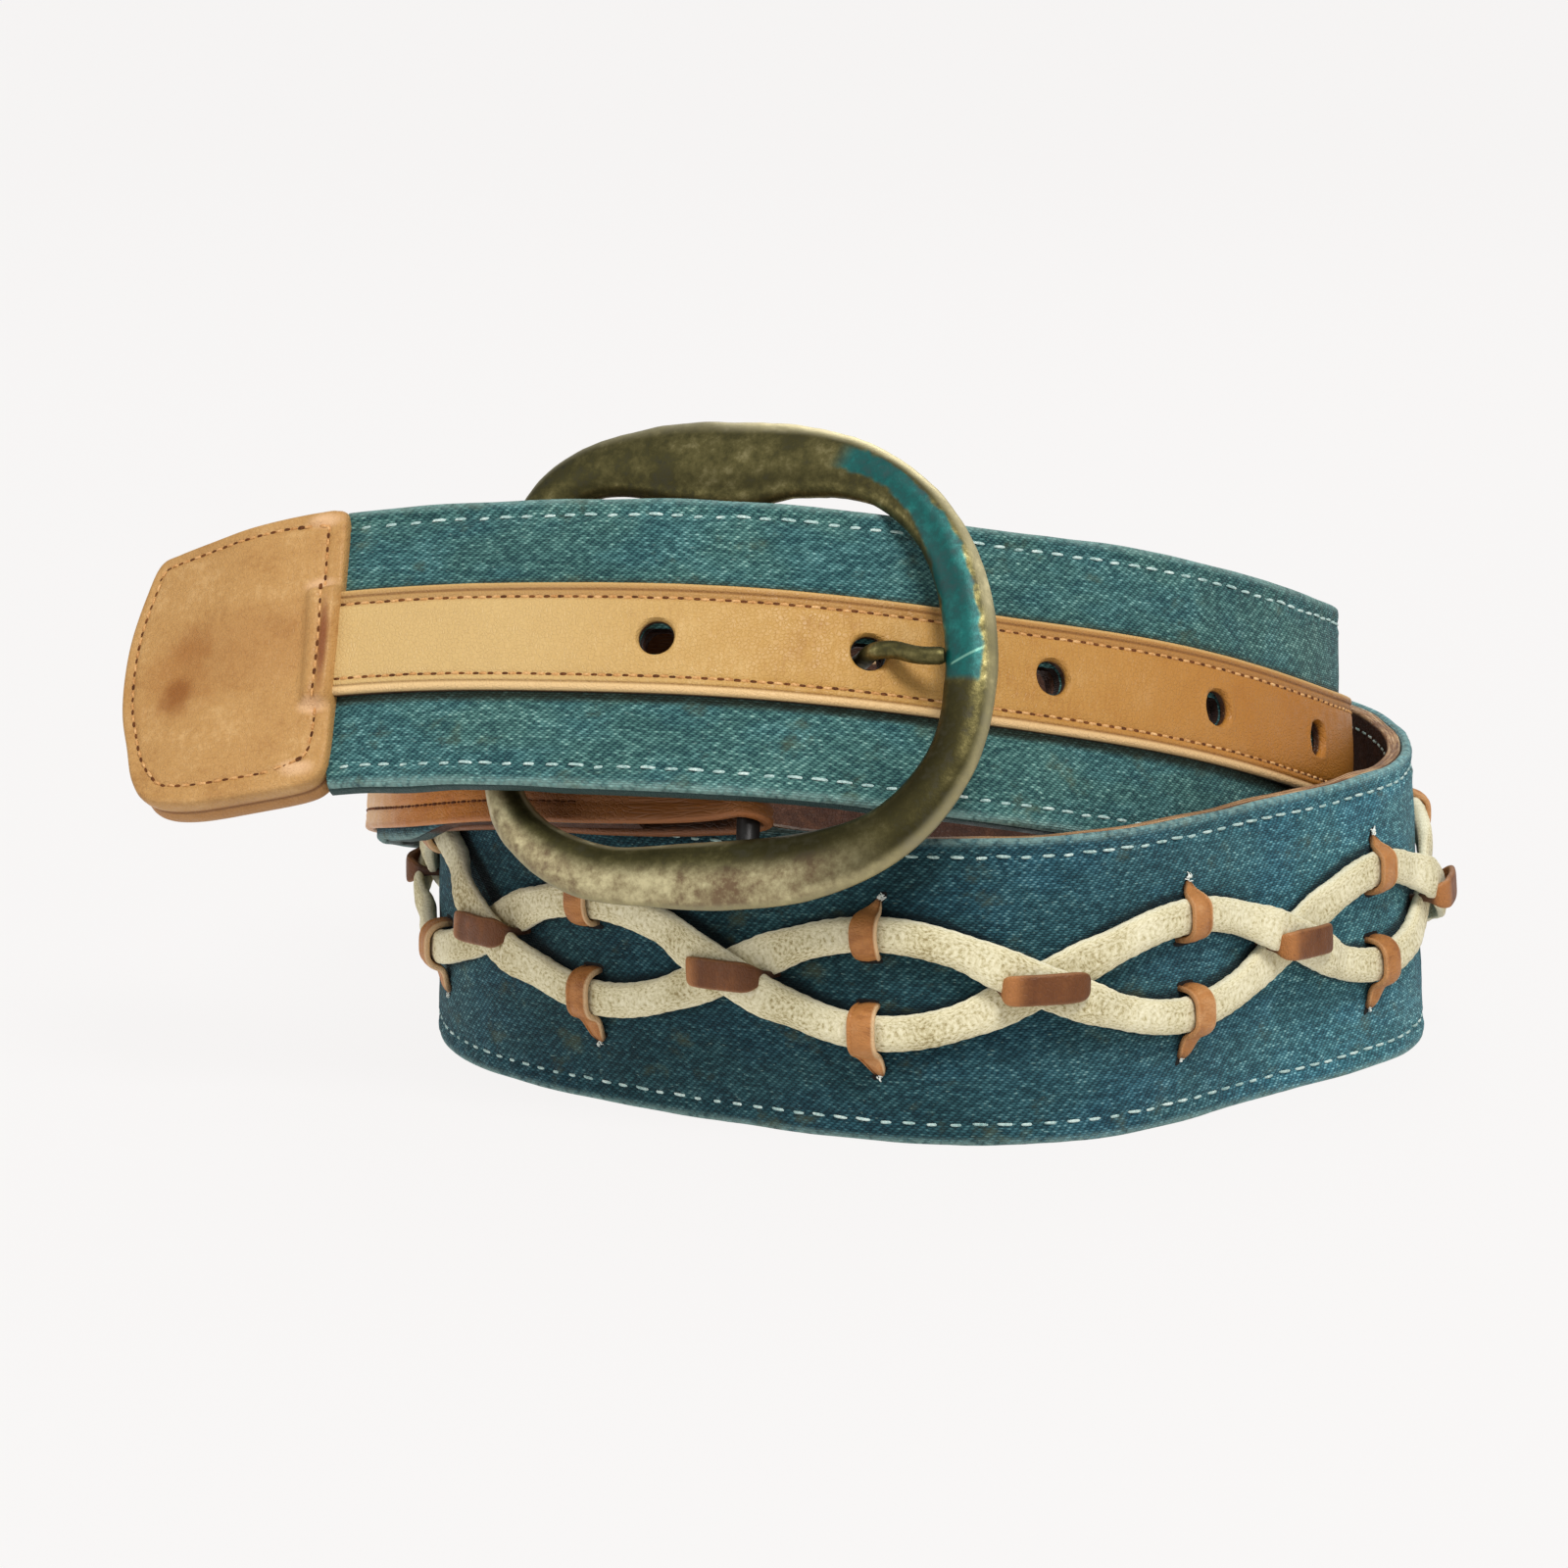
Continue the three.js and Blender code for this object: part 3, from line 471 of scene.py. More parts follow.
# Twill: a warp float is 3 wefts long and starts one weft earlier in each row, so floats stack up into
# diagonal ribs. Height is (1 - (2 across - 1)^2) x (1 - |2 along - 1|^3) within a float.
def mixDenim():
    m = Mixture("wornDenim", Roughness=0.92, Specular_IOR_Level=0.15, Sheen_Weight=0.08,
                Sheen_Roughness=0.5)
    k = denimLook
    wobble = m.times(m.noise(m.place, 0.35, 2), 0.5)
    rows = m.math("DIVIDE", m.plus(m.v, wobble), k["thread"])
    row, across = m.math("FLOOR", rows), m.math("FRACT", rows)
    floats = m.math("DIVIDE", m.plus(m.math("DIVIDE", m.s, k["thread"]), row), float(k["floatLength"]))
    along = m.math("FRACT", floats)
    side = m.minus(m.times(across, 2.0), 1.0)
    rounded = m.minus(1.0, m.times(side, side))
    reach = m.math("POWER", m.size(m.minus(m.times(along, 2.0), 1.0)), 3.0)
    height = m.times(rounded, m.minus(1.0, reach))
    chance = m.scatter(m.vector(row, m.math("FLOOR", floats), 0.0))
    fade = m.noise(m.stretch(1, 1.5), 0.08, 4, 0.6)
    patch = m.noise(m.stretch(0.6, 1.0), 1.1, 3, 0.7)
    tone = m.plus(m.times(chance, 0.44), m.times(patch, 0.5))
    # painted shade, along with the weave's pattern: threads darken where they dip under
    rib = m.math("COSINE", m.times(m.minus(along, 0.5), 2 * math.pi))
    tone = m.plus(tone, m.times(rib, 0.13))
    tone = m.plus(tone, m.times(m.minus(fade, 0.5), 0.5))
    tone = m.plus(tone, m.times(m.minus(height, 0.45), 0.22))
    stops = (0.16, 0.5, 0.78, 1.0)
    laced, free = (m.ramp(tone, list(zip(stops, k[half]))) for half in ("laced", "free"))
    isFree = m.span(m.s, 640.0, 745.0)
    colour = m.blend(isFree, laced, free)
    # painted shade under the buckle and the upper band, together with darker unfaded denim there
    middle, thinned, full, strength = k["unfadedAndShaded"]
    unfadedAndShaded = m.span(m.size(m.minus(m.s, middle)), thinned, full, 0.0, strength)
    colour = m.blend(unfadedAndShaded, colour, k["unfadedShadeTint"], "MULTIPLY")
    # painted light: the lower band's right side is brightened
    paintedLight = m.times(m.span(m.s, 440.0, 350.0), m.span(m.s, 220.0, 300.0, 0.0, 0.8))
    colour = m.blend(paintedLight, colour, k["paintedLightTint"], "MULTIPLY")
    cool = m.span(m.noise(m.stretch(0.5, 1.0), 0.09, 3, 0.6), 0.42, 0.62, 0.0, 0.8)
    colour = m.blend(cool, colour, k["coolTint"], "MULTIPLY")
    slubs = m.span(m.noise(m.stretch(0.8, 3.4), 1.0, 2), 0.67, 0.74, 0.0, 0.5)
    colour = m.blend(slubs, colour, k["rubbed"])
    colour = m.blend(cordShadow(m), colour, k["shadow"])
    edge = m.span(m.size(m.v), 20.8, 22.2)
    worn = m.times(edge, m.span(m.noise(m.place, 0.9, 3), 0.3, 0.6, 0.15, 0.6))
    colour = m.blend(worn, colour, k["rubbed"])
    soil = m.times(m.span(m.noise(m.stretch(1, 1.3), 0.13, 3, 0.65), 0.56, 0.74), 0.4)
    colour = m.blend(soil, colour, k["soil"])
    # dirt together with painted shade along both edges of the punched strip
    beside = m.size(m.minus(m.size(m.v), 8.5))
    grimeAndShade = m.times(m.span(beside, 1.5, 0.2), m.span(m.s, 724.0, 727.0, 0.0, 0.7))
    colour = m.blend(grimeAndShade, colour, k["grimeAndShade"])
    # painted shade on the walls of the punched holes
    wall = m.times(m.span(m.d, -0.22, -0.4), m.span(m.size(m.v), 5.0, 4.0))
    colour = m.blend(m.times(wall, isFree), colour, k["holeShade"])
    fuzz = m.times(m.noise(m.place, 3.2, 2), 0.5)
    return m.surface(Base_Color=colour, Normal=m.bump(m.plus(height, fuzz), 0.09))


denim = mixDenim()


# Leather: fine pebbles from cell walls, streaks along one way, and slow changes of colour.
def mixLeather(name, base, deep, light, streak=(0.4, 2.2), grain=1.6, roughness=0.55, relief=0.05,
               vary=0.6, paint=None):
    m = Mixture(name, Specular_IOR_Level=0.35)
    slow = m.noise(m.place, 0.12, 3, 0.6)
    streaks = m.noise(m.stretch(streak[1], streak[0]), 1.0, 3, 0.6)
    pebbles = m.cells(m.place, grain)
    tone = m.plus(m.times(slow, 0.6), m.times(streaks, 0.4))
    colour = m.blend(m.span(tone, 0.5, 0.34, 0.0, vary), base, deep)
    colour = m.blend(m.span(tone, 0.5, 0.66, 0.0, vary), colour, light)
    if paint:
        colour = paint(m, colour)
    pores = m.span(m.noise(m.place, 2.6, 2), 0.6, 0.75)
    colour = m.blend(m.times(pores, 0.25), colour, deep)
    height = m.plus(m.span(pebbles, 0.0, 0.18), m.times(streaks, 0.9))
    rough = m.span(m.noise(m.place, 0.5, 3), 0.3, 0.7, roughness - 0.08, roughness + 0.12)
    return m.surface(Base_Color=colour, Roughness=rough, Normal=m.bump(height, relief))


# A ragged spot of paint round a place on the strap, with its reach along and across.
def spot(m, s0, v0, reachS, reachV, ragged=1.1):
    x = m.math("DIVIDE", m.minus(m.s, s0), reachS)
    y = m.math("DIVIDE", m.minus(m.v, v0), reachV)
    far = m.math("SQRT", m.plus(m.times(x, x), m.times(y, y)))
    shake = m.times(m.minus(m.noise(m.place, 0.35, 3), 0.5), ragged)
    return m.span(m.plus(far, shake), 1.15, 0.25)


# Strip: amber towards its start and straw yellow towards the tip, painted shade above the upper stitches,
# painted highlights on the lip below the lower ones and along the top edge, and painted shade on the walls
# in the holes and on the strip's sides.
def paintStrip(m, colour):
    amber = m.span(m.s, 915.0, 800.0)
    colour = m.blend(m.times(amber, 0.92), colour, seen(166, 102, 26))
    straw = m.span(m.s, 900.0, 955.0)
    colour = m.blend(m.times(straw, 0.75), colour, seen(206, 174, 116))
    # painted shade: the band above the upper stitches is browner
    upperShade = m.span(m.v, 5.2, 6.4)
    colour = m.blend(m.times(upperShade, 0.6), colour, seen(160, 112, 58))
    crease = m.span(m.size(m.minus(m.size(m.v), 7.15)), 0.32, 0.1)
    colour = m.blend(m.times(crease, 0.5), colour, seen(108, 64, 26))
    # painted highlight on the lip below the lower stitches
    lip = m.span(m.v, -6.9, -7.6)
    colour = m.blend(m.times(lip, 0.75), colour, seen(224, 188, 136))
    # painted highlight along the top edge
    rim = m.span(m.v, 7.6, 8.1)
    colour = m.blend(m.times(rim, 0.7), colour, seen(212, 172, 108))
    # painted shade on everything below the face: the walls in the holes and the strip's sides
    side = m.span(m.d, 1.45, 0.9)
    return m.blend(side, colour, seen(70, 42, 24))


ridgeHighlight = seen(226, 182, 138)
capSpots = [
    # s, v, reach along, reach across, raggedness, strength, colour
    # the first spot is painted shade of the strip's end beneath the cap
    (990.0, 0.8, 15.0, 8.5, 0.5, 0.4, seen(164, 112, 58)),
    (1001.5, -2.0, 7.5, 9.0, 1.1, 0.6, seen(160, 104, 46)),
    (999.5, 3.5, 3.6, 4.6, 1.0, 0.5, seen(150, 94, 38)),
    (1001.0, -4.6, 3.4, 4.0, 0.9, 0.8, seen(136, 78, 22)),
    # painted highlights on the ridges beside the strip's end and on the pinched corners
    (978.6, 9.6, 3.0, 1.4, 0.3, 0.7, ridgeHighlight),
    (978.6, -10.2, 3.0, 1.4, 0.3, 0.7, ridgeHighlight),
    (978.6, 20.2, 3.0, 1.5, 0.3, 0.7, ridgeHighlight),
    (980.6, -19.8, 3.4, 1.6, 0.3, 0.7, ridgeHighlight),
    (977.2, -0.5, 1.1, 8.8, 0.2, 0.85, seen(122, 60, 26)),
]


# Cap: brown where fingers pull it, a band of painted shade over the strip's end beneath, red-brown over the
# punched strip's end between two pale ridges of painted highlight, painted highlights on the pinched corners,
# burnished along its edge, and painted shade in the groove between its panels.
def paintCap(m, colour):
    for s0, v0, reachS, reachV, ragged, share, paint in capSpots:
        place = spot(m, s0, v0, reachS, reachV, ragged)
        colour = m.blend(m.times(place, share), colour, paint)
    edge = m.span(m.d, -0.2, -1.3)
    colour = m.blend(m.times(edge, 0.6), colour, seen(160, 108, 60))
    # painted shade in the groove between the front and back panels
    grooveShade = m.span(m.size(m.plus(m.d, 1.7)), 0.45, 0.15)
    return m.blend(m.times(grooveShade, 0.6), colour, seen(104, 62, 28))


# Lining: dark brown inside, raw tan with a paler core at the cut edges.
def paintLining(m, colour):
    rim = m.span(m.size(m.v), 21.7, 22.3)
    layers = m.noise(m.stretch(0.15, 0.4, 3.0), 1.0, 3)
    raw = m.ramp(layers, [(0.35, seen(112, 74, 44)), (0.5, seen(164, 122, 82)), (0.65, seen(206, 172, 130))])
    colour = m.blend(rim, colour, raw)
    return m.blend(m.span(m.v, -20.9, -21.6), colour, seen(44, 68, 66))


# Chape: painted light where it turns round the left side, painted shadow in the ring, painted shade on its
# back leaf behind the bar, and rubbed along its edges.
def paintChape(m, colour):
    # painted shadow where the chape lies in the ring
    colour = m.blend(m.span(m.s, 38.0, 22.0, 0.0, 0.8), colour, seen(104, 60, 32))
    # painted light on the turn round the left side
    colour = m.blend(m.span(m.s, 44.0, 68.0, 0.0, 0.8), colour, seen(226, 184, 134))
    # painted shade, near black, on the back leaf behind the bar
    colour = m.blend(m.span(m.s, -2.0, -8.0, 0.0, 0.9), colour, seen(36, 22, 14))
    edge = m.span(m.size(m.v), 19.6, 20.5)
    return m.blend(m.times(edge, 0.5), colour, seen(158, 96, 50))


# Keepers: place.x repeats every 31 mm with the keeper's middle at 0; painted light makes their left end paler
# and painted shade makes the right one dark. place.y is the share of the half width, place.z the height.
def paintKeeper(m, colour):
    fromMiddle = m.minus(m.math("FRACT", m.math("DIVIDE", m.plus(m.s, 15.5), 31.0)), 0.5)
    colour = m.blend(m.span(fromMiddle, 0.06, 0.13, 0.0, 0.7), colour, seen(186, 122, 66))
    colour = m.blend(m.span(fromMiddle, -0.02, -0.13, 0.0, 0.6), colour, seen(98, 54, 16))
    edge = m.span(m.size(m.v), 0.8, 0.98)
    colour = m.blend(m.times(edge, 0.3), colour, seen(190, 138, 92))
    # painted shade where the ends dive into the strap
    return m.blend(m.span(m.d, 4.6, 3.2, 0.0, 0.8), colour, seen(48, 26, 12))


# Loops: cream cut edge on one side, painted shade where they dive into the strap.
def paintLoop(m, colour):
    edge = m.span(m.v, -0.72, -0.94)
    colour = m.blend(m.times(edge, 0.75), colour, seen(222, 190, 146))
    other = m.span(m.v, 0.84, 0.98)
    colour = m.blend(m.times(other, 0.4), colour, seen(206, 158, 112))
    return m.blend(m.span(m.d, 1.3, 0.2, 0.0, 0.7), colour, seen(70, 38, 16))


stripLeather = mixLeather("stripLeather", seen(184, 140, 72), seen(158, 108, 46), seen(204, 166, 106),
                          roughness=0.48, vary=0.5, paint=paintStrip)
capLeather = mixLeather("capLeather", seen(184, 138, 80), seen(160, 111, 56), seen(206, 164, 108),
                        streak=(1.0, 1.0), roughness=0.5, paint=paintCap)
liningLeather = mixLeather("liningLeather", seen(70, 42, 28), seen(42, 24, 17), seen(104, 66, 44),
                           streak=(0.6, 0.6), roughness=0.62, relief=0.09, paint=paintLining)
chapeLeather = mixLeather("chapeLeather", seen(212, 134, 52), seen(178, 102, 34), seen(226, 160, 84),
                          streak=(0.8, 0.8), roughness=0.45, paint=paintChape)
keeperLeather = mixLeather("keeperLeather", seen(106, 60, 24), seen(80, 40, 14), seen(134, 80, 36),
                           streak=(0.8, 0.8), grain=2.4, roughness=0.5, vary=0.8, paint=paintKeeper)
loopLeather = mixLeather("loopLeather", seen(178, 118, 62), seen(142, 86, 38), seen(200, 146, 94),
                         streak=(0.8, 0.8), grain=2.4, roughness=0.5, vary=0.8, paint=paintLoop)


# Thread: fine twist and slow wear share the tone in equal halves.
def mixThread(name, base, shadow, light):
    m = Mixture(name, Roughness=0.8, Specular_IOR_Level=0.2)
    twist = m.noise(m.stretch(3.0, 3.0, 3.0), 1.0, 2)
    worn = m.noise(m.stretch(0.4, 0.4, 0.4), 1.0, 3)
    tone = m.plus(m.times(twist, 0.5), m.times(worn, 0.5))
    colour = m.ramp(tone, [(0.34, shadow), (0.5, base), (0.64, light)])
    return m.surface(Base_Color=colour, Normal=m.bump(twist, 0.08))


whiteThread = mixThread("whiteThread", seen(170, 194, 188), seen(112, 146, 142), seen(214, 228, 220))
tanThread = mixThread("tanThread", seen(200, 148, 92), seen(160, 106, 56), seen(224, 180, 126))
chapeThread = mixThread("chapeThread", seen(96, 56, 30), seen(64, 34, 16), seen(130, 80, 46))
# painted shade standing for the inside of each needle hole
needleHoleShade = mixThread("needleHoleShade", seen(92, 50, 20), seen(60, 32, 12), seen(120, 70, 30))
frayThread = mixThread("frayThread", seen(226, 230, 220), seen(184, 194, 186), seen(244, 246, 238))
# painted shade standing for the inside of the slits
slitShade = mixThread("slitShade", seen(24, 22, 20), seen(14, 14, 14), seen(36, 32, 28))


brassLook = {
    "tones": [(0.36, seen(46, 43, 22)), (0.47, seen(76, 71, 41)), (0.57, seen(106, 98, 60)),
              (0.68, seen(152, 141, 98))],
    "bevelReflection": [(0.4, seen(104, 78, 48)), (0.5, seen(158, 144, 106)), (0.6, seen(196, 184, 142))],
    "lacquer": [(0.36, seen(0, 48, 46)), (0.5, seen(2, 76, 72)), (0.6, seen(8, 98, 92)),
                (0.7, seen(60, 146, 134))],
    "rim": seen(232, 218, 170), "dull": seen(50, 44, 20), "innerShade": seen(46, 42, 20),
    "innerHighlight": seen(222, 210, 164), "scratch": seen(120, 170, 150), "barShade": seen(18, 14, 10),
}


# Brass: place is (1 on the ring and 0 on the bar and prong, share across the band, height), and the
# angle in the ring's plane is found from the object's own coordinates. Grime lies in the pits, and worn
# green lacquer covers the band at the upper right. Painted highlights lie on the rims and along the inner
# edge at the lower left, a mottled painted reflection of the floor lies on the lower outer bevel, painted
# shade darkens the inner half of the band, and the bar is painted near black as shade.
def mixBrass():
    m, k = Mixture("agedBrass"), brassLook
    coordinates = m.tree.nodes.new("ShaderNodeTexCoord").outputs["Object"]
    slow = m.noise(m.stretch(90, 90, 90, coordinates), 1.0, 4, 0.6)
    fine = m.noise(m.stretch(520, 520, 520, coordinates), 1.0, 4, 0.7)
    middle = tuple(0.001 * (np.array(buckle["centre"]) + strap["shift"]))
    fromCentre = m.vectorMath("SUBTRACT", coordinates, middle)
    right = m.vectorMath("DOT_PRODUCT", fromCentre, tuple(ringRight))
    up = m.vectorMath("DOT_PRODUCT", fromCentre, tuple(ringUp))
    angle = m.times(m.math("ARCTAN2", up, right), 180 / math.pi)
    tone = m.plus(m.times(slow, 0.5), m.times(fine, 0.5))
    colour = m.ramp(tone, k["tones"])
    # painted highlight on the outer rim, strongest on the upper right shoulder
    onRim = m.times(m.span(m.v, 0.8, 0.97), m.span(m.d, -1.4, -0.4))
    shoulder = m.times(m.span(angle, 8.0, 24.0), m.span(angle, 112.0, 92.0))
    rim = m.times(onRim, m.plus(m.times(shoulder, 0.6), 0.3))
    colour = m.blend(rim, colour, k["rim"])
    low = m.times(m.span(angle, -40.0, -72.0), m.span(angle, -168.0, -142.0))
    bevel = m.times(low, m.times(m.span(m.v, 0.28, 0.66), m.span(m.v, 1.0, 0.92)))
    dull = m.times(m.times(m.span(angle, 4.0, -10.0), m.span(angle, -90.0, -60.0)),
                  m.span(m.v, 0.93, 0.8, 0.0, 0.6))
    colour = m.blend(dull, colour, k["dull"])
    # painted reflection of the floor, mottled, on the lower outer bevel
    bevelReflection = m.ramp(tone, k["bevelReflection"])
    colour = m.blend(m.times(bevel, 0.85), colour, bevelReflection)
    # painted shade on the inner half of the band
    band = m.times(m.span(m.v, 0.1, 0.2), m.span(m.v, 0.5, 0.2))
    colour = m.blend(m.times(band, 0.55), colour, k["innerShade"])
    # painted highlight along the inner edge at the lower left
    innerLeft = m.times(m.span(angle, -76.0, -92.0), m.span(m.v, 0.12, 0.03))
    colour = m.blend(m.times(innerLeft, 0.75), colour, k["innerHighlight"])
    start, stop = m.span(angle, -1.5, 0.6), m.span(angle, 76.0, 70.0)
    ragged = m.times(m.minus(m.noise(m.stretch(300, 300, 300, coordinates), 1.0, 3), 0.5), 0.3)
    share = m.plus(m.v, ragged)
    outerSide = m.span(m.plus(share, m.span(angle, 20.0, 60.0, 0.0, -0.06)), 0.78, 0.7)
    innerSide = m.span(m.minus(share, m.span(angle, 25.0, 65.0, 0.0, 0.36)), -0.02, 0.08)
    patch = m.times(m.times(start, stop), m.times(outerSide, innerSide))
    patch = m.times(patch, m.s)
    teal = m.ramp(tone, k["lacquer"])
    across = m.minus(angle, m.times(m.v, 6.5))
    scratch = m.times(m.span(m.size(m.plus(across, -2.2)), 0.5, 0.15),
                     m.span(m.v, 0.12, 0.2))
    teal = m.blend(m.times(scratch, 0.7), teal, k["scratch"])
    colour = m.blend(patch, colour, teal)
    # painted shade: the bar, in shadow behind the strap, near black
    dark = m.span(m.v, -0.2, -0.8)
    colour = m.blend(dark, colour, k["barShade"])
    metal = m.minus(m.span(tone, 0.38, 0.5, 0.55, 0.9), m.times(patch, 0.5))
    metal = m.minus(metal, m.times(m.math("MAXIMUM", bevel, dark), 0.45))
    rough = m.span(fine, 0.3, 0.7, 0.52, 0.4)
    relief = m.plus(fine, m.times(slow, 0.5))
    return m.surface(Base_Color=colour, Metallic=metal, Roughness=rough, Normal=m.bump(relief, 0.07))


cottonLook = {
    "tones": [(0.36, seen(150, 134, 92)), (0.44, seen(196, 184, 144)), (0.52, seen(218, 208, 172)),
              (0.66, seen(236, 228, 198))],
    "edgeHighlight": seen(240, 234, 208),
}


# Cotton: place is (mm along the cord, mm round it from one rim, relief of the braid from 0 to 1). The
# strands are drawn by two stripe waves, one per diagonal; specks are drawn out along the cord.
def mixCotton():
    m = Mixture("creamCotton", Roughness=0.95, Specular_IOR_Level=0.1, Sheen_Weight=0.1)
    specks = m.noise(m.stretch(1.5, 3.4, 0.0), 1.0, 3, 0.7)
    slow = m.noise(m.stretch(0.12, 0.12, 0.0), 1.0, 2)
    first, second = (m.math("SINE", m.plus(m.times(m.s, 6.4), m.times(m.v, lean)))
                     for lean in (5.2, -5.2))
    weave = m.plus(m.times(first, m.d), m.times(second, m.minus(1.0, m.d)))
    tone = m.plus(m.times(weave, 0.025), m.times(specks, 0.7))
    tone = m.plus(tone, m.times(slow, 0.3))
    colour = m.ramp(tone, cottonLook["tones"])
    # painted highlights along both edges of the cord
    edgeHighlight = m.math("MAXIMUM", m.span(m.v, 1.3, 0.3), m.span(m.v, 5.3, 6.3))
    colour = m.blend(m.times(edgeHighlight, 0.45), colour, cottonLook["edgeHighlight"])
    height = m.plus(m.times(weave, 0.3), specks)
    return m.surface(Base_Color=colour, Normal=m.bump(height, 0.06))


cotton = mixCotton()
print("materials mixed")


# Half width: narrower where the chape covers both sides, full on, and under the cap narrower again and
# rounded off before the tip.
def strapHalf(s):
    inside = strapEnd - strap["underCap"]
    narrow = halfWidth - strap["underCap"] - 10 * np.clip((s - (inside - 11)) / 11, 0, None) ** 2
    covered = 2.1 * (1 - smoothStep(s, 40, 54))
    return np.where(s < strap["capStart"] + 1, halfWidth - covered, narrow)


cornerSteps = 4


# Section of a layer: faces are straight runs of the given places from -1 to 1, and the four corners
# are quarter circles. Columns are share of the half width, share of the radius both ways, and side.
def layerSection(places):
    quarter = np.linspace(0, np.pi / 2, cornerSteps + 1)
    front = [(p, 0, 1, 1, 1) for p in places]
    right = [(1, np.sin(a), np.cos(a), 1, 1) for a in quarter[1:]]
    right += [(1, np.cos(a), np.sin(a), -1, 1) for a in quarter[:-1]]
    back = [(p, 0, 1, -1, 1) for p in places[::-1]]
    left = [(-1, -np.sin(a), np.cos(a), -1, 1) for a in quarter[1:]]
    left += [(-1, -np.cos(a), np.sin(a), 1, 1) for a in quarter[:-1]]
    return np.array(front + right + back + left, float), len(places)


# Strap places of a layer for each s and each column of its section.
def layerPlaces(s, half, low, high, radius, section):
    share, out, up, side, _ = section.T
    s = s[:, None]
    half = np.broadcast_to(np.asarray(half, float).reshape(-1, 1), (len(s), 1))
    v = share * (half - radius) + out * radius
    middle, thick = (low + high) / 2, (high - low) / 2
    d = middle + side * (thick - radius + up * radius)
    return np.broadcast_arrays(s + 0 * v, v, d + 0 * v)


# The back face runs the other way, so its column for a front column is counted from its far end.
def backColumn(section, column, faceCount):
    firstBack = np.flatnonzero((section[:, 1] == 0) & (section[:, 3] == -1))[0]
    return firstBack + faceCount - 1 - column


# A window through a layer, between two rows and two columns: the quads that go, on both faces, and
# the loop of point numbers round it on the front and on the back.
def cutWindow(faces, columns, section, faceCount, rowEnds, columnEnds):
    (r0, r1), (c0, c1) = rowEnds, columnEnds
    row, column = faces[:, 0] // columns, faces[:, 0] % columns
    b0, b1 = backColumn(section, c1, faceCount), backColumn(section, c0, faceCount)
    onFaces = ((column >= c0) & (column < c1)) | ((column >= b0) & (column < b1))
    loop = np.array([(r0, c) for c in range(c0, c1)] + [(r, c1) for r in range(r0, r1)]
                    + [(r1, c) for c in range(c1, c0, -1)] + [(r, c0) for r in range(r1, r0, -1)])
    start = loop[:, 0] * columns
    return ((row >= r0) & (row < r1) & onFaces, start + loop[:, 1],
            start + backColumn(section, loop[:, 1], faceCount))


# Cuts round holes through a layer: the quads over each hole are taken out on both faces, rings of
# points run from the square left to the circle, and a wall joins the two circles.
def punchLayer(s, places, section, faceCount, drop, lip=0.0):
    radius, reach = holes["radius"], holes["reach"]
    rows, columns = places.shape[:2]
    faces = gridFaces(rows, columns, wrapColumns=True)
    keep = np.ones(len(faces), bool)
    extraPlaces, extraFaces, first = [], [], rows * columns
    across = places[rows // 2, :faceCount, 1]
    c0, c1 = np.searchsorted(across, -reach), np.searchsorted(across, reach) - 1
    for hole in holes["at"]:
        r0 = int(np.argmin(abs(s - (hole - reach))))
        r1 = int(np.argmin(abs(s - (hole + reach))))
        gone, frontLoop, backLoop = cutWindow(faces, columns, section, faceCount, (r0, r1), (c0, c1))
        keep &= ~gone
        border = places.reshape(-1, 3)[frontLoop]
        under = places.reshape(-1, 3)[backLoop]
        angle = np.arctan2(border[:, 1], border[:, 0] - hole)
        circle = np.stack([hole + radius * np.cos(angle), radius * np.sin(angle)], 1)
        rings = []
        for t, sink in ((0.35, 0.0), (0.65, lip), (0.86, lip * 0.7), (1.0, -drop)):
            flat = border[:, :2] * (1 - t) + circle * t
            rings.append(np.column_stack([flat, border[:, 2] + sink]))
        shrunk = np.column_stack([hole + (circle[:, 0] - hole) * 0.96, circle[:, 1] * 0.96])
        rings.append(np.column_stack([shrunk, border[:, 2] - drop * 2.2]))
        rings.append(np.column_stack([shrunk, under[:, 2] + drop]))
        rings.append(np.column_stack([circle, under[:, 2]]))
        count = len(frontLoop)
        numbers = [frontLoop] + [first + i * count + np.arange(count) for i in range(len(rings))] + [backLoop]
        first += len(rings) * count
        extraPlaces.append(np.concatenate(rings))
        for a, b in zip(numbers[:-1], numbers[1:]):
            extraFaces.append(np.stack([a, np.roll(a, -1), np.roll(b, -1), b], 1))
    joined = np.concatenate([places.reshape(-1, 3)] + extraPlaces)
    return joined, [faces[keep]] + extraFaces


holes = {"at": [749.6, 779.1, 808.7, 836.5, 867.7, 896.1, 926.2], "radius": 2.7, "reach": 4.2}
stitching = {
    "pitch": 3.4, "length": 2.15, "thick": 0.44, "lowerLine": -19.2, "upperLine": 19.6,
    "valley": 0.34, "pucker": 0.18,
}


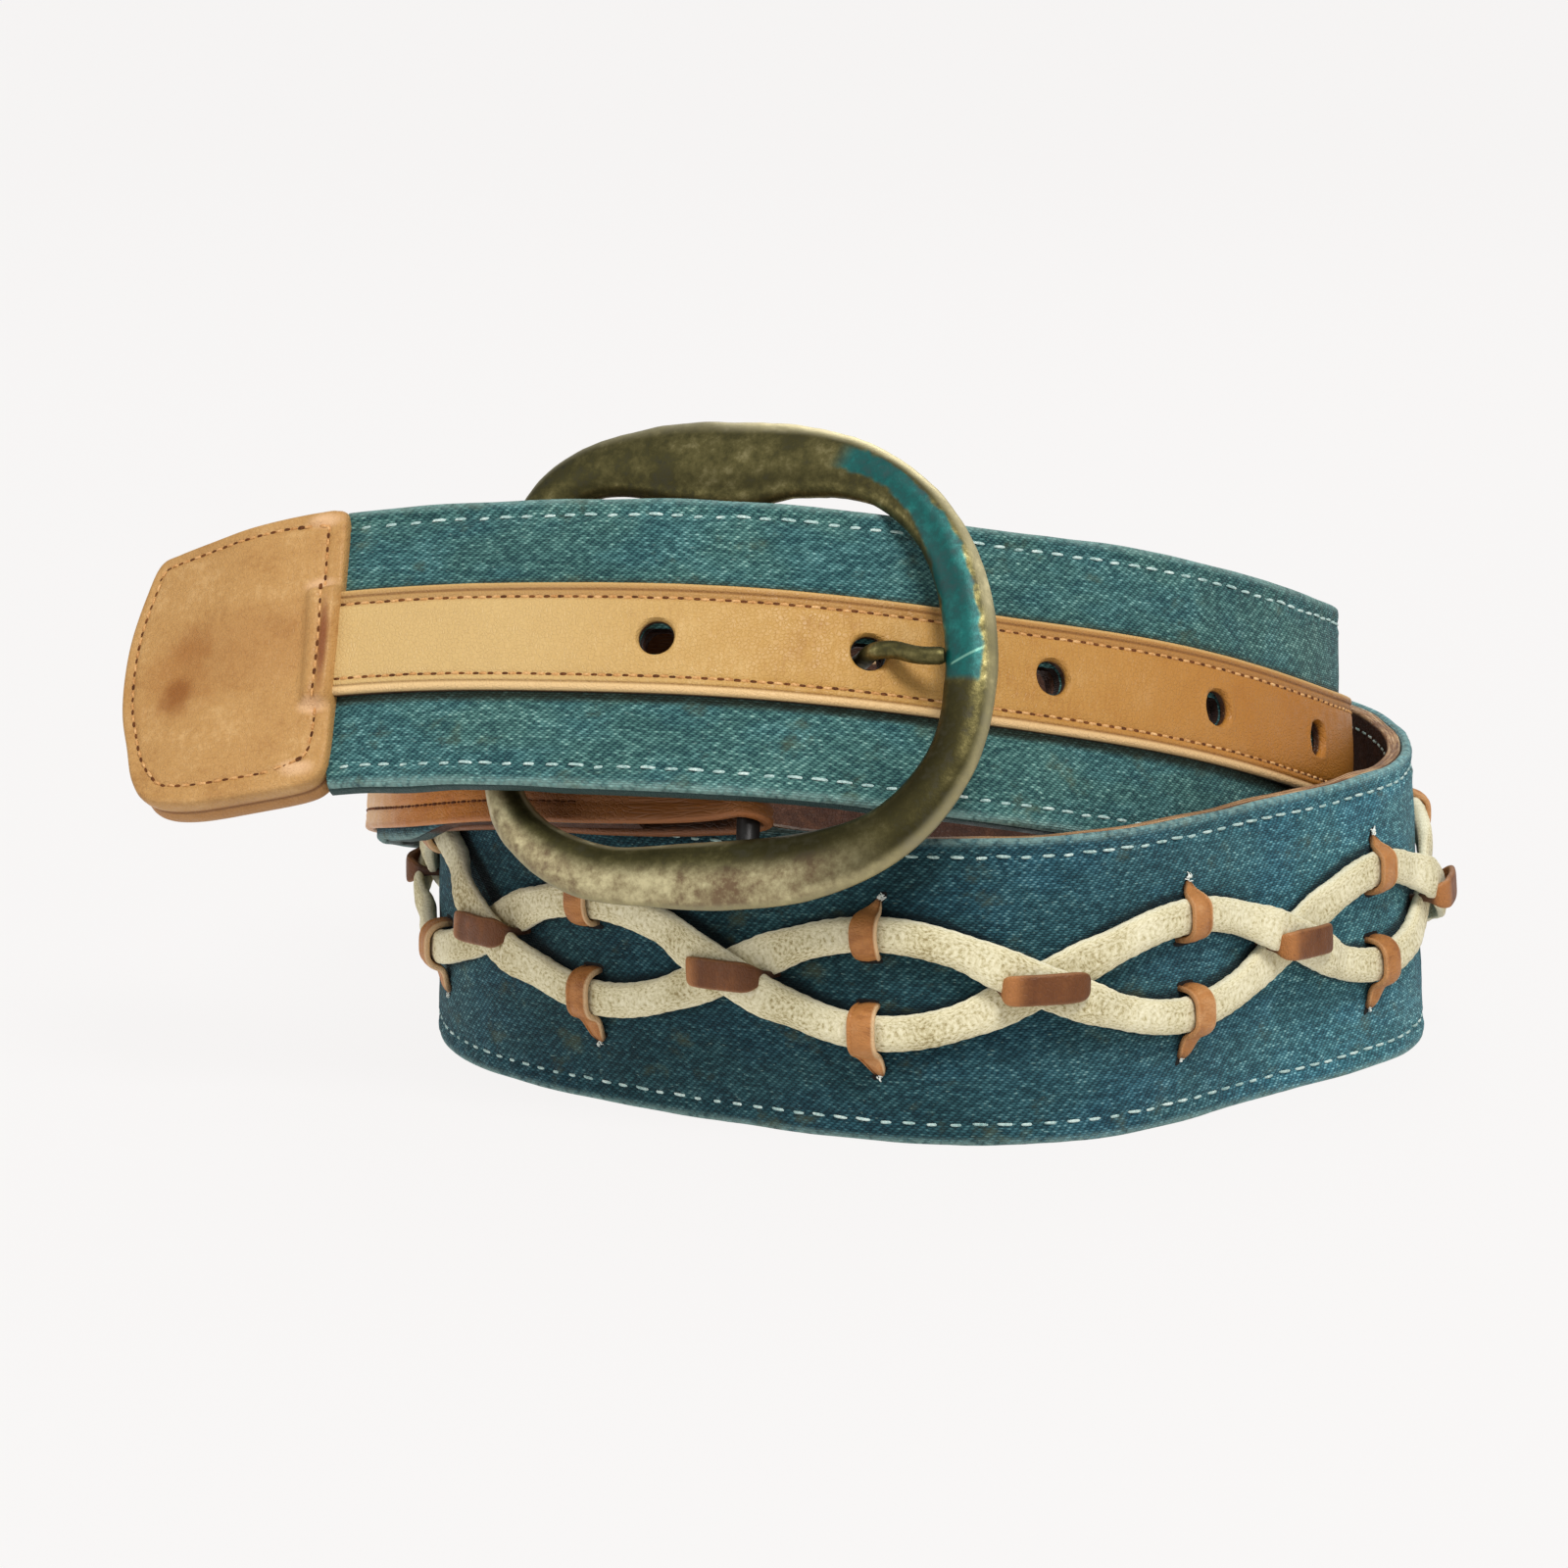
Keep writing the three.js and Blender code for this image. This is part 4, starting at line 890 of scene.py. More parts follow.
# One layer of the strap: its section along the rows, with relief on the front and edges that wander
# inward by a soft noise.
def makeLayer(name, s, half, low, high, radius, shares, relief, slotName, material, nodes,
              punched=None, wander=0.0):
    section, faceCount = layerSection(shares)
    sGrid, v, d = (x.copy() for x in layerPlaces(s, half, low, high, radius, section))
    if wander:
        side = smoothStep(abs(v), halfWidth - 6, halfWidth)
        v -= np.sign(v) * side * wander * (0.5 + 0.5 * softNoise(sGrid / 9, np.sign(v) * 5, 11))
    front = (section[:, 3] > 0)[None, :]
    d += np.where(front, relief(sGrid, v), 0)
    places = np.stack([sGrid, v, d], -1)
    if punched is None:
        joined, faces = places.reshape(-1, 3), [gridFaces(*places.shape[:2], wrapColumns=True)]
    else:
        joined, faces = punchLayer(s, places, section, faceCount, **punched)
    joined, caps = closeEnds(joined, *places.shape[:2])
    points = onStrap(*joined.T)
    makePiece(name, points, faces + caps, joined, slotName, material, nodes)


# Rows finer near the holes so that the square round each hole falls on rows.
def layerRows(start, end, step, marks=()):
    rows = np.linspace(start, end, int((end - start) / step) + 1)
    for mark in marks:
        rows = rows[abs(rows - mark) > step * 0.45]
    return np.sort(np.r_[rows, marks]) if len(marks) else rows


# Denim relief: folded edges stand up, a valley follows each line of stitches and puckers between
# stitches, and the cloth is softly uneven.
def denimRelief(s, v):
    q = stitching
    lift = 0.0
    for line in (q["lowerLine"], q["upperLine"]):
        off = (v - line) / 0.85
        near = np.exp(-off * off)
        wave = np.cos(2 * np.pi * s / q["pitch"])
        lift = lift - near * q["valley"] + q["pucker"] * wave * np.exp(-(off / 2.1) ** 2)
    fold = smoothStep(abs(v), 17.5, 18.4) * 0.12
    uneven = 0.16 * softNoise(s / 7, v / 6, 3) + 0.07 * softNoise(s / 2.1, v / 2.3, 4)
    rim = 1 - smoothStep(abs(v), halfWidth - 0.9, halfWidth)
    return (lift + fold) * rim + uneven * (0.4 + 0.6 * rim) - 0.1


holeMarks = [h + side * holes["reach"] for h in holes["at"] for side in (-1, 1)]
denimShares = np.r_[-1, -0.985, -0.96, -0.935, -0.912, -0.894, -0.876, -0.858, -0.84, -0.81, -0.76, -0.66,
                    -0.54, -0.42, -0.3, -0.19357, -0.09, 0.0, 0.09, 0.19357, 0.3, 0.42, 0.54, 0.66, 0.76,
                    0.82, 0.85, 0.87, 0.888, 0.906, 0.924, 0.945, 0.965, 0.985, 1]
strapRows = layerRows(strap["start"], strapEnd - strap["underCap"], 0.9, holeMarks)
makeLayer("denimFace", strapRows, strapHalf(strapRows), strap["denimBack"], 0.0, 0.75, denimShares,
          denimRelief, "denim", denim, ["denim_strap"], wander=0.35,
          punched=dict(drop=0.2))
liningRows = layerRows(strap["start"], strapEnd - strap["underCap"], 1.6, holeMarks)
liningShares = np.r_[-1, -0.95, -0.9, -0.87, -0.84, -0.7, -0.5, -0.35, -0.19, -0.09, 0, 0.09, 0.19, 0.35,
                     0.5, 0.7, 0.84, 0.87, 0.9, 0.95, 1]
makeLayer("liningBand", liningRows, strapHalf(liningRows), strap["liningBack"], strap["liningFront"] + 0.25,
          0.45, liningShares, lambda s, v: 0 * s, "lining", liningLeather, ["leather_lining"], wander=0.5,
          punched=dict(drop=0.2))
print("strap layers made")

punchedStrip = {
    "start": 726.5, "end": 980.1, "half": 8.35, "low": 0.15, "high": 1.9, "radius": 0.6,
    "stitchLine": 6.0, "creaseLine": 7.1, "pitch": 2.26,
}


# Strip relief: bell-shaped grooves under the stitches and beside them, and a parabola's crown.
def stripRelief(s, v):
    q = punchedStrip
    groove = -0.22 * np.exp(-((abs(v) - q["stitchLine"]) / 0.42) ** 2)
    crease = -0.2 * np.exp(-((abs(v) - q["creaseLine"]) / 0.2) ** 2)
    crown = 0.12 * (1 - (v / 6) ** 2)
    return groove + crease + np.where(abs(v) < 6, crown, 0) + 0.05 * softNoise(s / 4, v / 3, 8)


stripShares = np.r_[-1, -0.965, -0.94, -0.918, -0.9, -0.88, -0.85, -0.815, -0.79, -0.772, -0.75, -0.72, -0.68,
                    -0.54, -0.4, -0.26, -0.13, 0]
stripShares = np.r_[stripShares, -stripShares[-2::-1]]
stripRows = layerRows(punchedStrip["start"], punchedStrip["end"], 0.9, holeMarks)
makeLayer("punchedStrip", stripRows, np.full(len(stripRows), punchedStrip["half"]), punchedStrip["low"],
          punchedStrip["high"], punchedStrip["radius"], stripShares, stripRelief, "strip", stripLeather,
          ["hole_strip"], punched=dict(drop=0.3, lip=0.16))


# A stitch is a short arched capsule: rings of 6 points, thin at both ends, which dip below the face.
def stitchParts(s, v, d, angle, length, thick, arch, dip, flat=0.8):
    s, v, d, angle, length = np.broadcast_arrays(np.asarray(s, float), v, d, angle, length)
    t = np.array([-1, -0.78, -0.35, 0.35, 0.78, 1.0])
    girth = np.array([0.35, 0.85, 1, 1, 0.85, 0.35]) * thick / 2
    a = np.arange(6) * np.pi / 3
    x = (t * length[:, None] / 2)[:, :, None] + 0 * a
    y = girth[:, None] * np.cos(a)
    z = girth[:, None] * np.sin(a) * flat + (arch - (arch + dip) * t ** 4)[:, None]
    cos, sin = np.cos(angle)[:, None, None], np.sin(angle)[:, None, None]
    place = np.stack([s[:, None, None] + x * cos - y * sin, v[:, None, None] + x * sin + y * cos,
                      d[:, None, None] + z + 0 * cos], -1)
    count = len(s)
    ring = gridFaces(6, 6, wrapColumns=True)
    ends = np.array([[5, 4, 3, 2, 1, 0], [30, 31, 32, 33, 34, 35]])
    first = (np.arange(count) * 36)[:, None, None]
    faces = [(first + ring).reshape(-1, 4), (first + ends).reshape(-1, 6)]
    return place.reshape(-1, 3), faces


# Joins stitches given by strap places into one piece.
def makeStitches(name, parts, slotName, material):
    joined = joinParts([(p, f, p) for p, f in parts])
    place = joined[0]
    makePiece(name, onStrap(*place.T), joined[1], place, slotName, material,
              crease=70)


# Even places along a seam, each moved a little at random along it, and a random shift across it.
def seamPlaces(start, end, pitch, seed, jitter=0.12):
    s = np.arange(start, end, pitch)
    shake = np.random.default_rng(seed).uniform(-jitter, jitter, (2, len(s)))
    return s + shake[0], shake[1]


# White stitches along both edges of the denim, and their other sides on the lining.
def edgeSeams():
    q, outer, inner = stitching, [], []
    for line, seed in ((q["lowerLine"], 5), (q["upperLine"], 6)):
        s, shake = seamPlaces(strap["start"] + 2, strap["capStart"] - 0.8, q["pitch"], seed)
        surface = denimRelief(s, line + 0 * s) + shake * 0.5
        length = q["length"] * (1 + shake * 1.5)
        outer.append(stitchParts(s, line + shake, surface, shake * 0.6, length, q["thick"], 0.14, 0.16, 0.6))
        inner.append(stitchParts(s, line + shake, strap["liningBack"] - 0.02, 0 * s, q["length"],
                                 q["thick"], -0.1, -0.25))
    makeStitches("edgeStitches", outer, "denim", whiteThread)
    makeStitches("liningStitches", inner, "lining", whiteThread)


edgeSeams()


# Leather seams: tan stitches with a needle hole between each two, drawn as a dark mark of painted shade.
def leatherSeam(s, v, d, angle, pitch):
    thread = stitchParts(s, v, d, angle, pitch * 0.62, 0.42, 0.1, 0.16)
    cos, sin = np.cos(angle), np.sin(angle)
    hole = stitchParts(s + pitch / 2 * cos, v + pitch / 2 * sin, d, angle, pitch * 0.5, 0.56, 0.02, 0.1, 0.3)
    return thread, hole


# Tan stitches in the grooves along both edges of the punched strip.
def stripSeams():
    q, threads, pricks = punchedStrip, [], []
    for side, seed in ((-1, 21), (1, 22)):
        s, shake = seamPlaces(q["start"] + 1.2, q["end"] - 4, q["pitch"], seed, 0.06)
        v = side * q["stitchLine"] + shake
        d = q["high"] + stripRelief(s, v)
        thread, hole = leatherSeam(s, v, d, 0 * s, q["pitch"])
        threads.append(thread)
        pricks.append(hole)
    return threads, pricks


stripThreads, stripPricks = stripSeams()
makeStitches("stripStitches", stripThreads, "strip", tanThread)
makeStitches("stripPricks", stripPricks, "strip", needleHoleShade)
print("seams sewn")

cap = {
    # outline from the mouth's lower corner, counterclockwise in (s, v) as the photograph shows it
    "outline": [(976.0, -18.2), (975.7, -10), (975.4, 0), (975.5, 10), (975.6, 20.2), (976.8, 21.8),
                (980.0, 21.9), (986.1, 21.7), (998.1, 21.2), (1005.6, 20.6), (1009.4, 19.5), (1011.0, 14.4),
                (1012.0, 7.0), (1011.7, 0.0), (1010.5, -6.5), (1008.3, -12.5), (1006.2, -18.2),
                (1003.3, -21.8), (997.6, -23.3), (989.1, -23.2), (980.6, -22.5), (977.2, -21.0)],
    # share of the way from the middle to the outline, and depth: the rounded front panel, the groove
    # between the panels and the rounded back panel
    "edge": [(0.985, 1.86), (0.996, 1.6), (1.002, 1.1), (1.003, 0.4), (1.0, -0.6), (0.992, -1.3),
             (0.984, -1.7), (0.992, -2.05), (1.002, -2.5), (1.006, -3.1), (1.004, -3.8), (0.996, -4.4),
             (0.98, -4.65)],
    "middle": (993.1, 0.0), "front": 1.95, "back": -4.7, "steps": 260, "inset": 1.9, "pitch": 2.2,
}


# Catmull-Rom between the second and the third of four rows, f being the share of the way.
def catmullRom(p, f):
    return p[1] + 0.5 * f * (p[2] - p[0] + f * (2 * p[0] - 5 * p[1] + 4 * p[2] - p[3]
                                                + f * (3 * (p[1] - p[2]) + p[3] - p[0])))


# Closed Catmull-Rom curve through the rows, evenly spaced by length.
def closedCurve(rows, count):
    rows = np.array(rows, float)
    t = np.linspace(0, len(rows), 4000, endpoint=False)
    i, f = np.floor(t).astype(int), (t % 1)[:, None]
    curve = catmullRom([rows[(i + k) % len(rows)] for k in (-1, 0, 1, 2)], f)
    step = np.linalg.norm(np.diff(np.vstack([curve, curve[:1]]), axis=0), axis=1)
    length = np.r_[0, np.cumsum(step)]
    want = np.linspace(0, length[-1], count, endpoint=False)
    closed = np.vstack([curve, curve[:1]])
    return np.stack([np.interp(want, length, closed[:, c]) for c in range(rows.shape[1])], 1), length[-1]


capOutline, capRound = closedCurve(cap["outline"], cap["steps"])


# Distance of each place inside the cap from its outline.
def insetOf(s, v):
    flat = np.stack([np.ravel(s), np.ravel(v)], 1)
    gap = np.full(len(flat), 1e9)
    for part in np.array_split(capOutline, 8):
        away = np.linalg.norm(flat[:, None, :] - part[None], axis=2).min(1)
        gap = np.minimum(gap, away)
    return gap.reshape(np.shape(s))


# The seam stands closer to the edge at the tip and the top than at the mouth and the bottom.
def seamInset(s, v):
    return cap["inset"] + 1.1 * smoothStep(v, -13, -20) + 0.7 * smoothStep(s, 986, 978)


# Cap relief: raised over the punched strip at the mouth, grooved under the seam, pinched corners.
def capRelief(s, v):
    inside = insetOf(s, v)
    over = smoothStep(abs(v + 0.4), 10.2, 8.4) * smoothStep(s, 981.2, 979.2)
    bump = 1.75 * over * smoothStep(inside, -0.4, 0.9)
    groove = -0.26 * np.exp(-((inside - seamInset(s, v)) / 0.5) ** 2)
    pinchTop = 0.55 * np.exp(-((s - 979.9) / 1.7) ** 2 - ((v - 20.2) / 0.9) ** 2)
    pinchLow = 0.6 * np.exp(-((s - 982.1) / 3.4) ** 2 - ((v + 19.4) / 0.9) ** 2)
    dent = -0.4 * np.exp(-((s - 1002) / 9) ** 2 - ((v + 2) / 9) ** 2)
    uneven = 0.16 * softNoise(s / 8, v / 8, 31) + 0.05 * softNoise(s / 2.4, v / 2.4, 32)
    calm = smoothStep(inside, 0.2, 1.6)
    return bump + groove + pinchTop + pinchLow + (dent + uneven) * calm


def makeCap():
    middle = np.array(cap["middle"])
    share = np.r_[0.02, np.linspace(0.06, 0.8, 20), np.linspace(0.815, 0.965, 18)]
    frontRows = [middle + (capOutline - middle) * t for t in share]
    frontDepth = [np.full(len(capOutline), cap["front"]) for _ in share]
    edgeRows = [middle + (capOutline - middle) * t for t, _ in cap["edge"]]
    edgeDepth = [np.full(len(capOutline), d) for _, d in cap["edge"]]
    backShare = np.linspace(0.94, 0.03, 14)
    backRows = [middle + (capOutline - middle) * t for t in backShare]
    backDepth = [np.full(len(capOutline), cap["back"]) for _ in backShare]
    flat = np.array(frontRows + edgeRows + backRows)
    depth = np.array(frontDepth + edgeDepth + backDepth)
    frontCount = len(frontRows) + 3
    depth[:frontCount] += capRelief(flat[:frontCount, :, 0], flat[:frontCount, :, 1])
    place = np.concatenate([flat, depth[..., None]], -1)
    joined, faces, where = cappedTube(place, place)
    points = onStrap(*joined.T)
    makePiece("tipCap", points, faces, where, "cap", capLeather, ["tip_cap"])


makeCap()


# The seam runs inside the outline: each point is moved inward along its own normal.
def capSeams():
    ahead, behind = np.roll(capOutline, -1, 0), np.roll(capOutline, 1, 0)
    tangent = unit(ahead - behind)
    inward = np.stack([-tangent[:, 1], tangent[:, 0]], 1)
    if np.mean(np.einsum("ij,ij->i", inward, np.array(cap["middle"]) - capOutline)) < 0:
        inward = -inward
    path = capOutline + inward * seamInset(capOutline[:, 0], capOutline[:, 1])[:, None]
    path, _ = closedCurve(path[::5], int(capRound * 0.86 / cap["pitch"]))
    turn = unit(np.roll(path, -1, 0) - np.roll(path, 1, 0))
    angle = np.arctan2(turn[:, 1], turn[:, 0])
    depth = cap["front"] + capRelief(path[:, 0], path[:, 1])
    thread, hole = leatherSeam(path[:, 0], path[:, 1], depth, angle, cap["pitch"])
    makeStitches("capStitches", [thread], "cap", tanThread)
    makeStitches("capPricks", [hole], "cap", needleHoleShade)


capSeams()
print("cap made")

buckle = {
    "centre": (-27.2, -62.5, 67.8), "turn": 20.0, "lean": 31.0, "thick": 4.2, "barRadius": 1.7,
    "barBack": 2.4, "barRight": 1.2, "barSkew": -0.15, "barReach": (-30.0, 29.5), "steps": 288,
    "outer": [38.5, 37.8, 37.9, 38.1, 38.0, 38.6, 42.0, 45.6, 43.8, 40.0, 39.6, 42.6, 41.4, 37.8, 37.2,
              38.6, 40.0, 39.8],
    "inner": [30.9, 30.3, 30.8, 30.2, 27.2, 24.9, 28.5, 37.6, 38.6, 35.3, 34.9, 36.4, 33.0, 28.3, 26.9,
              28.5, 31.5, 32.3],
    # section from the inner to the outer rim: share of the band's width, share of the thickness
    "section": [(0, -0.12), (0, 0.12), (0.13, 0.36), (0.34, 0.47), (0.58, 0.49), (0.82, 0.36), (0.95, 0.15),
                (1, -0.08), (0.9, -0.36), (0.62, -0.47), (0.32, -0.48), (0.08, -0.3)],
}
turnAngle, leanAngle = math.radians(buckle["turn"]), math.radians(buckle["lean"])
ringRight = np.array([math.cos(turnAngle), -math.sin(turnAngle), 0])
ringLevel = np.array([-math.sin(turnAngle), -math.cos(turnAngle), 0])
ringUp = np.array([0, 0, math.cos(leanAngle)]) - math.sin(leanAngle) * ringLevel
ringFace = np.array([0, 0, math.sin(leanAngle)]) + math.cos(leanAngle) * ringLevel


# A place on the buckle: centre + u to the right + v up the leaning ring + n out of its face.
def onRing(u, v, n):
    u, v, n = (np.asarray(x, float)[..., None] for x in np.broadcast_arrays(u, v, n))
    return np.array(buckle["centre"]) + strap["shift"] + u * ringRight + v * ringUp + n * ringFace


# The same measured from the bar's axis, which stands a little askew in the ring.
def onBar(u, v, n):
    return onRing(buckle["barRight"] + buckle["barSkew"] * v + u, v, n - buckle["barBack"])


# Catmull-Rom in the angle through radii given every 20 degrees.
def ringRadius(angle, column):
    values = np.array(buckle[column])
    t = (angle / (2 * np.pi) * len(values)) % len(values)
    i, f = np.floor(t).astype(int), t % 1
    return catmullRom([values[(i + k) % len(values)] for k in (-1, 0, 1, 2)], f)


# A round rod: each point + radius x (cos a x a sideways vector + sin a x the one square to both).
def roundRod(points, sideways, radius, sides):
    along = unit(np.gradient(points, axis=0))
    e1 = unit(sideways - along * np.einsum("ij,ij->i", along, sideways)[:, None])
    e2 = np.cross(along, e1)
    a = np.arange(sides) * 2 * np.pi / sides
    radius = np.broadcast_to(radius, len(points))[:, None, None]
    return points[:, None] + radius * (np.cos(a)[:, None] * e1[:, None] + np.sin(a)[:, None] * e2[:, None])


brass = mixBrass()


# The ring: radius = inner + (outer - inner) x share across the band, with dents of soft noise. The bar
# is a plain rod.
def makeBuckle():
    section, _ = closedCurve(buckle["section"], 30)
    angle = np.arange(buckle["steps"]) * 2 * np.pi / buckle["steps"]
    outer, inner = ringRadius(angle, "outer")[:, None], ringRadius(angle, "inner")[:, None]
    share, height = section[:, 0], section[:, 1]
    radius = inner + (outer - inner) * share
    n = np.broadcast_to(height * buckle["thick"], radius.shape)
    degrees = np.broadcast_to(np.degrees(angle)[:, None], radius.shape)
    worn = 0.07 * softNoise(degrees / 6, share * 3, 41) + 0.035 * softNoise(degrees / 2, share * 8, 42)
    radius, n = radius + worn, n + worn
    points = onRing(radius * np.cos(angle)[:, None], radius * np.sin(angle)[:, None], n)
    place = np.stack([0 * n + 1, share + 0 * n, n], -1)
    ring = (points.reshape(-1, 3), [gridFaces(*points.shape[:2], wrapRows=True, wrapColumns=True)], place)
    v = np.linspace(*buckle["barReach"], 60)
    line = onBar(0 * v, v, 0)
    rod = roundRod(line, np.broadcast_to(ringRight, line.shape), buckle["barRadius"], 20)
    bar = cappedTube(rod, np.broadcast_to([0.0, -1.0, 0.0], rod.shape))
    makePiece("buckleRing", *joinParts([ring, bar]), "brass", brass, ["buckle_frame"])


makeBuckle()


# Smooth open curve through control points: natural spline over the chord length.
def openCurve(points, count):
    points = np.asarray(points, float)
    knots = np.r_[0, np.cumsum(np.linalg.norm(np.diff(points, axis=0), axis=1))]
    return naturalSpline(knots, points)(np.linspace(0, knots[-1], count))


prong = {
    "wire": 1.3, "steps": 120, "atBar": 1.0, "hole": 5, "hookAngles": [150, 180, 210, 240, 270, 300, 325],
    # distance along the strap from the hole, and outward
    "throughHole": [(9.6, -5.7), (5.6, -5.65), (2.6, -5.5), (1.0, -4.6), (0.3, -2.8), (0, -0.8), (-0.2, 1.1),
                    (-0.9, 3.0), (-2.6, 4.1)],
    # right, up and outward in the ring, for the last two points
    "onRing": ([26.0, 30.6], [2.9, 3.1], [1.6, 1.3]),
}


# The prong hooks round the bar, comes up through its hole and ends on the ring, thinner at the tip.
def makeProng():
    hook = buckle["barRadius"] + 0.35 + prong["wire"]
    a = np.radians(prong["hookAngles"])
    start = onBar(hook * np.cos(a), prong["atBar"], hook * np.sin(a))
    ahead = np.array(prong["throughHole"])
    through = onStrap(holes["at"][prong["hole"]] + ahead[:, 0], 0, ahead[:, 1])
    end = onRing(*prong["onRing"])
    line = openCurve(np.concatenate([start, through, end]), prong["steps"])
    radius = np.full(prong["steps"], prong["wire"])
    radius[-3:] = [prong["wire"], prong["wire"] * 0.94, prong["wire"] * 0.8]
    rod = roundRod(line, np.broadcast_to(ringUp, line.shape), radius, 20)
    place = np.broadcast_to([0.0, 0.66, 0.0], rod.shape)
    makePiece("prongWire", *cappedTube(rod, place), "brass", brass, ["buckle_prong"])


makeProng()
print("buckle made")

chape = {
    "half": 20.7, "thick": 1.6, "rise": -2.4, "end": 106.8, "backEnd": 58.0, "front": 1.2, "back": -4.9,
    "pitch": 2.3, "radius": 0.55, "stitchLine": 17.8, "creaseLine": 19.2,
}


# The chape's middle surface: frames along the front of the strap, round the bar and along the back.
def chapePath():
    front = np.arange(chape["end"], strap["start"], -0.9)
    back = np.arange(strap["start"], chape["backEnd"], 1.5)
    fold = buckle["barRadius"] + 0.3 + chape["thick"] / 2
    a = np.radians(np.linspace(124, -50, 26))
    reachV = chape["half"]
    lowFold = onBar(fold * np.cos(a), chape["rise"] - reachV, fold * np.sin(a))
    highFold = onBar(fold * np.cos(a), chape["rise"] + reachV, fold * np.sin(a))
    lowExtra = onBar(-9.5, chape["rise"] - reachV, -6.8)[None]
    highExtra = onBar(-9.5, chape["rise"] + reachV, -6.8)[None]
    low = np.concatenate([onStrap(front, -reachV, chape["front"]), lowFold, lowExtra,
                          onStrap(back, -reachV, chape["back"])])
    high = np.concatenate([onStrap(front, reachV, chape["front"]), highFold, highExtra,
                           onStrap(back, reachV, chape["back"])])
    run = np.r_[front, strap["start"] - 2 - 0.2 * np.arange(26), -10, -12 - (back - strap["start"])]
    return low, high, run


# The chape is a layer round the middle surface: middle + v x across + d x normal, grooved under the
# seams, with a slot for the prong.
def makeChape():
    low, high, run = chapePath()
    count = 420
    both = np.concatenate([low, high], 1)
    knots = np.r_[0, np.cumsum(np.linalg.norm(np.diff((low + high) / 2, axis=0), axis=1))]
    want = np.linspace(0, knots[-1], count)
    both = naturalSpline(knots, both)(want)
    run = np.interp(want, knots, run)
    low, high = both[:, :3], both[:, 3:]
    across, middle = unit(high - low), (low + high) / 2
    along = unit(np.gradient(middle, axis=0))
    normal = unit(np.cross(across, along))
    front = onStrap(60.0, 0, 5.0) - onStrap(60.0, 0, 0.0)
    if np.dot(normal[count // 6], front) < 0:
        normal = -normal
    shares = np.r_[-1, -0.97, -0.945, -0.92, -0.9, -0.88, -0.86, -0.84, -0.8, -0.65, -0.45, -0.3, -0.12, 0.01,
                   0.13, 0.25, 0.33, 0.45, 0.65, 0.8, 0.84, 0.86, 0.88, 0.9, 0.92, 0.945, 0.97, 1]
    section, faceCount = layerSection(shares)
    share, out, up, side, _ = section.T
    radius = chape["radius"]
    v = share * (chape["half"] - radius) + out * radius
    d = side * (chape["thick"] / 2 - radius + up * radius)
    groove = -0.2 * np.exp(-((abs(v) - chape["stitchLine"]) / 0.42) ** 2)
    groove = groove - 0.14 * np.exp(-((abs(v) - chape["creaseLine"]) / 0.22) ** 2)
    d = np.broadcast_to(d + np.where(side > 0, groove, 0), (count, len(v)))
    d = d + np.where(side > 0, 1, 0) * 0.08 * softNoise(run[:, None] / 5, v / 5, 51)
    points = middle[:, None] + v[None, :, None] * across[:, None] + d[..., None] * normal[:, None]
    points[..., 2] = np.maximum(points[..., 2], 0)
    place = np.stack([np.broadcast_to(run[:, None], d.shape), np.broadcast_to(v, d.shape), d], -1)
    faces = gridFaces(count, len(v), wrapColumns=True)
    # the prong's slot: quads left out on both faces round the fold, with walls between
    r0, r1 = int(np.searchsorted(-run, -(strap["start"] + 0.5))), int(np.searchsorted(-run, 9.5))
    c0, c1 = int(np.argmin(abs(shares - 0.01))), int(np.argmin(abs(shares - 0.25)))
    gone, top, under = cutWindow(faces, len(v), section, faceCount, (r0, r1), (c0, c1))
    wall = np.stack([top, np.roll(top, -1), np.roll(under, -1), under], 1)
    joined, caps = closeEnds(points.reshape(-1, 3), count, len(v))
    where, _ = closeEnds(place.reshape(-1, 3), count, len(v))
    makePiece("chapeFold", joined, [faces[~gone], wall] + caps, where, "chape", chapeLeather, ["chape"])
    seam = np.arange(14.0, chape["end"] - 2, chape["pitch"])
    threads, pricks = [], []
    for side in (-1, 1):
        depth = chape["front"] + chape["thick"] / 2 - 0.2
        line = side * chape["stitchLine"] + 0 * seam
        thread, hole = leatherSeam(seam, line, depth + 0 * seam, 0 * seam, chape["pitch"])
        threads.append(thread)
        pricks.append(hole)
    makeStitches("chapeStitches", threads, "chape", chapeThread)
    makeStitches("chapePricks", pricks, "chape", needleHoleShade)


makeChape()
print("chape made")

# Where a cord is at s: it swings as a sine between crossings, is pressed thin near them, and the two
# cords take turns on top. Gives height across, distance out and half thickness.
def cordState(s, side):
    at = np.array(lacing["crossings"])
    k = np.searchsorted(at, s, side="right") - 1
    pitchFirst = at[1] - at[0]
    grown = np.r_[at[0] - pitchFirst, at, at[-1] + lacing["pitch"]]
    origin, following = grown[k + 1], grown[k + 2]
    phase = (s - origin) / (following - origin)
    up = side * np.where(k % 2 == 0, 1, -1)
    where, reach, extra = lacing["highSwing"]
    swing = lacing["swing"] + np.where(up > 0, extra * np.exp(-((s - where) / reach) ** 2), 0)
    v = lacing["middle"] + up * swing * np.sin(np.pi * phase)
    nearest = np.where(phase > 0.5, k + 1, k)
    away = np.abs(s - np.where(phase > 0.5, following, origin))
    near = 1 - smoothStep(away, 5.4, 12.0)
    onTop = (nearest % 2 == 0) == (side > 0)
    half = (lacing["thick"] * (1 - near) + lacing["pressed"] * near) / 2
    return v, lacing["seat"] + half + np.where(onTop, near * (lacing["pressed"] + 0.3), 0), half


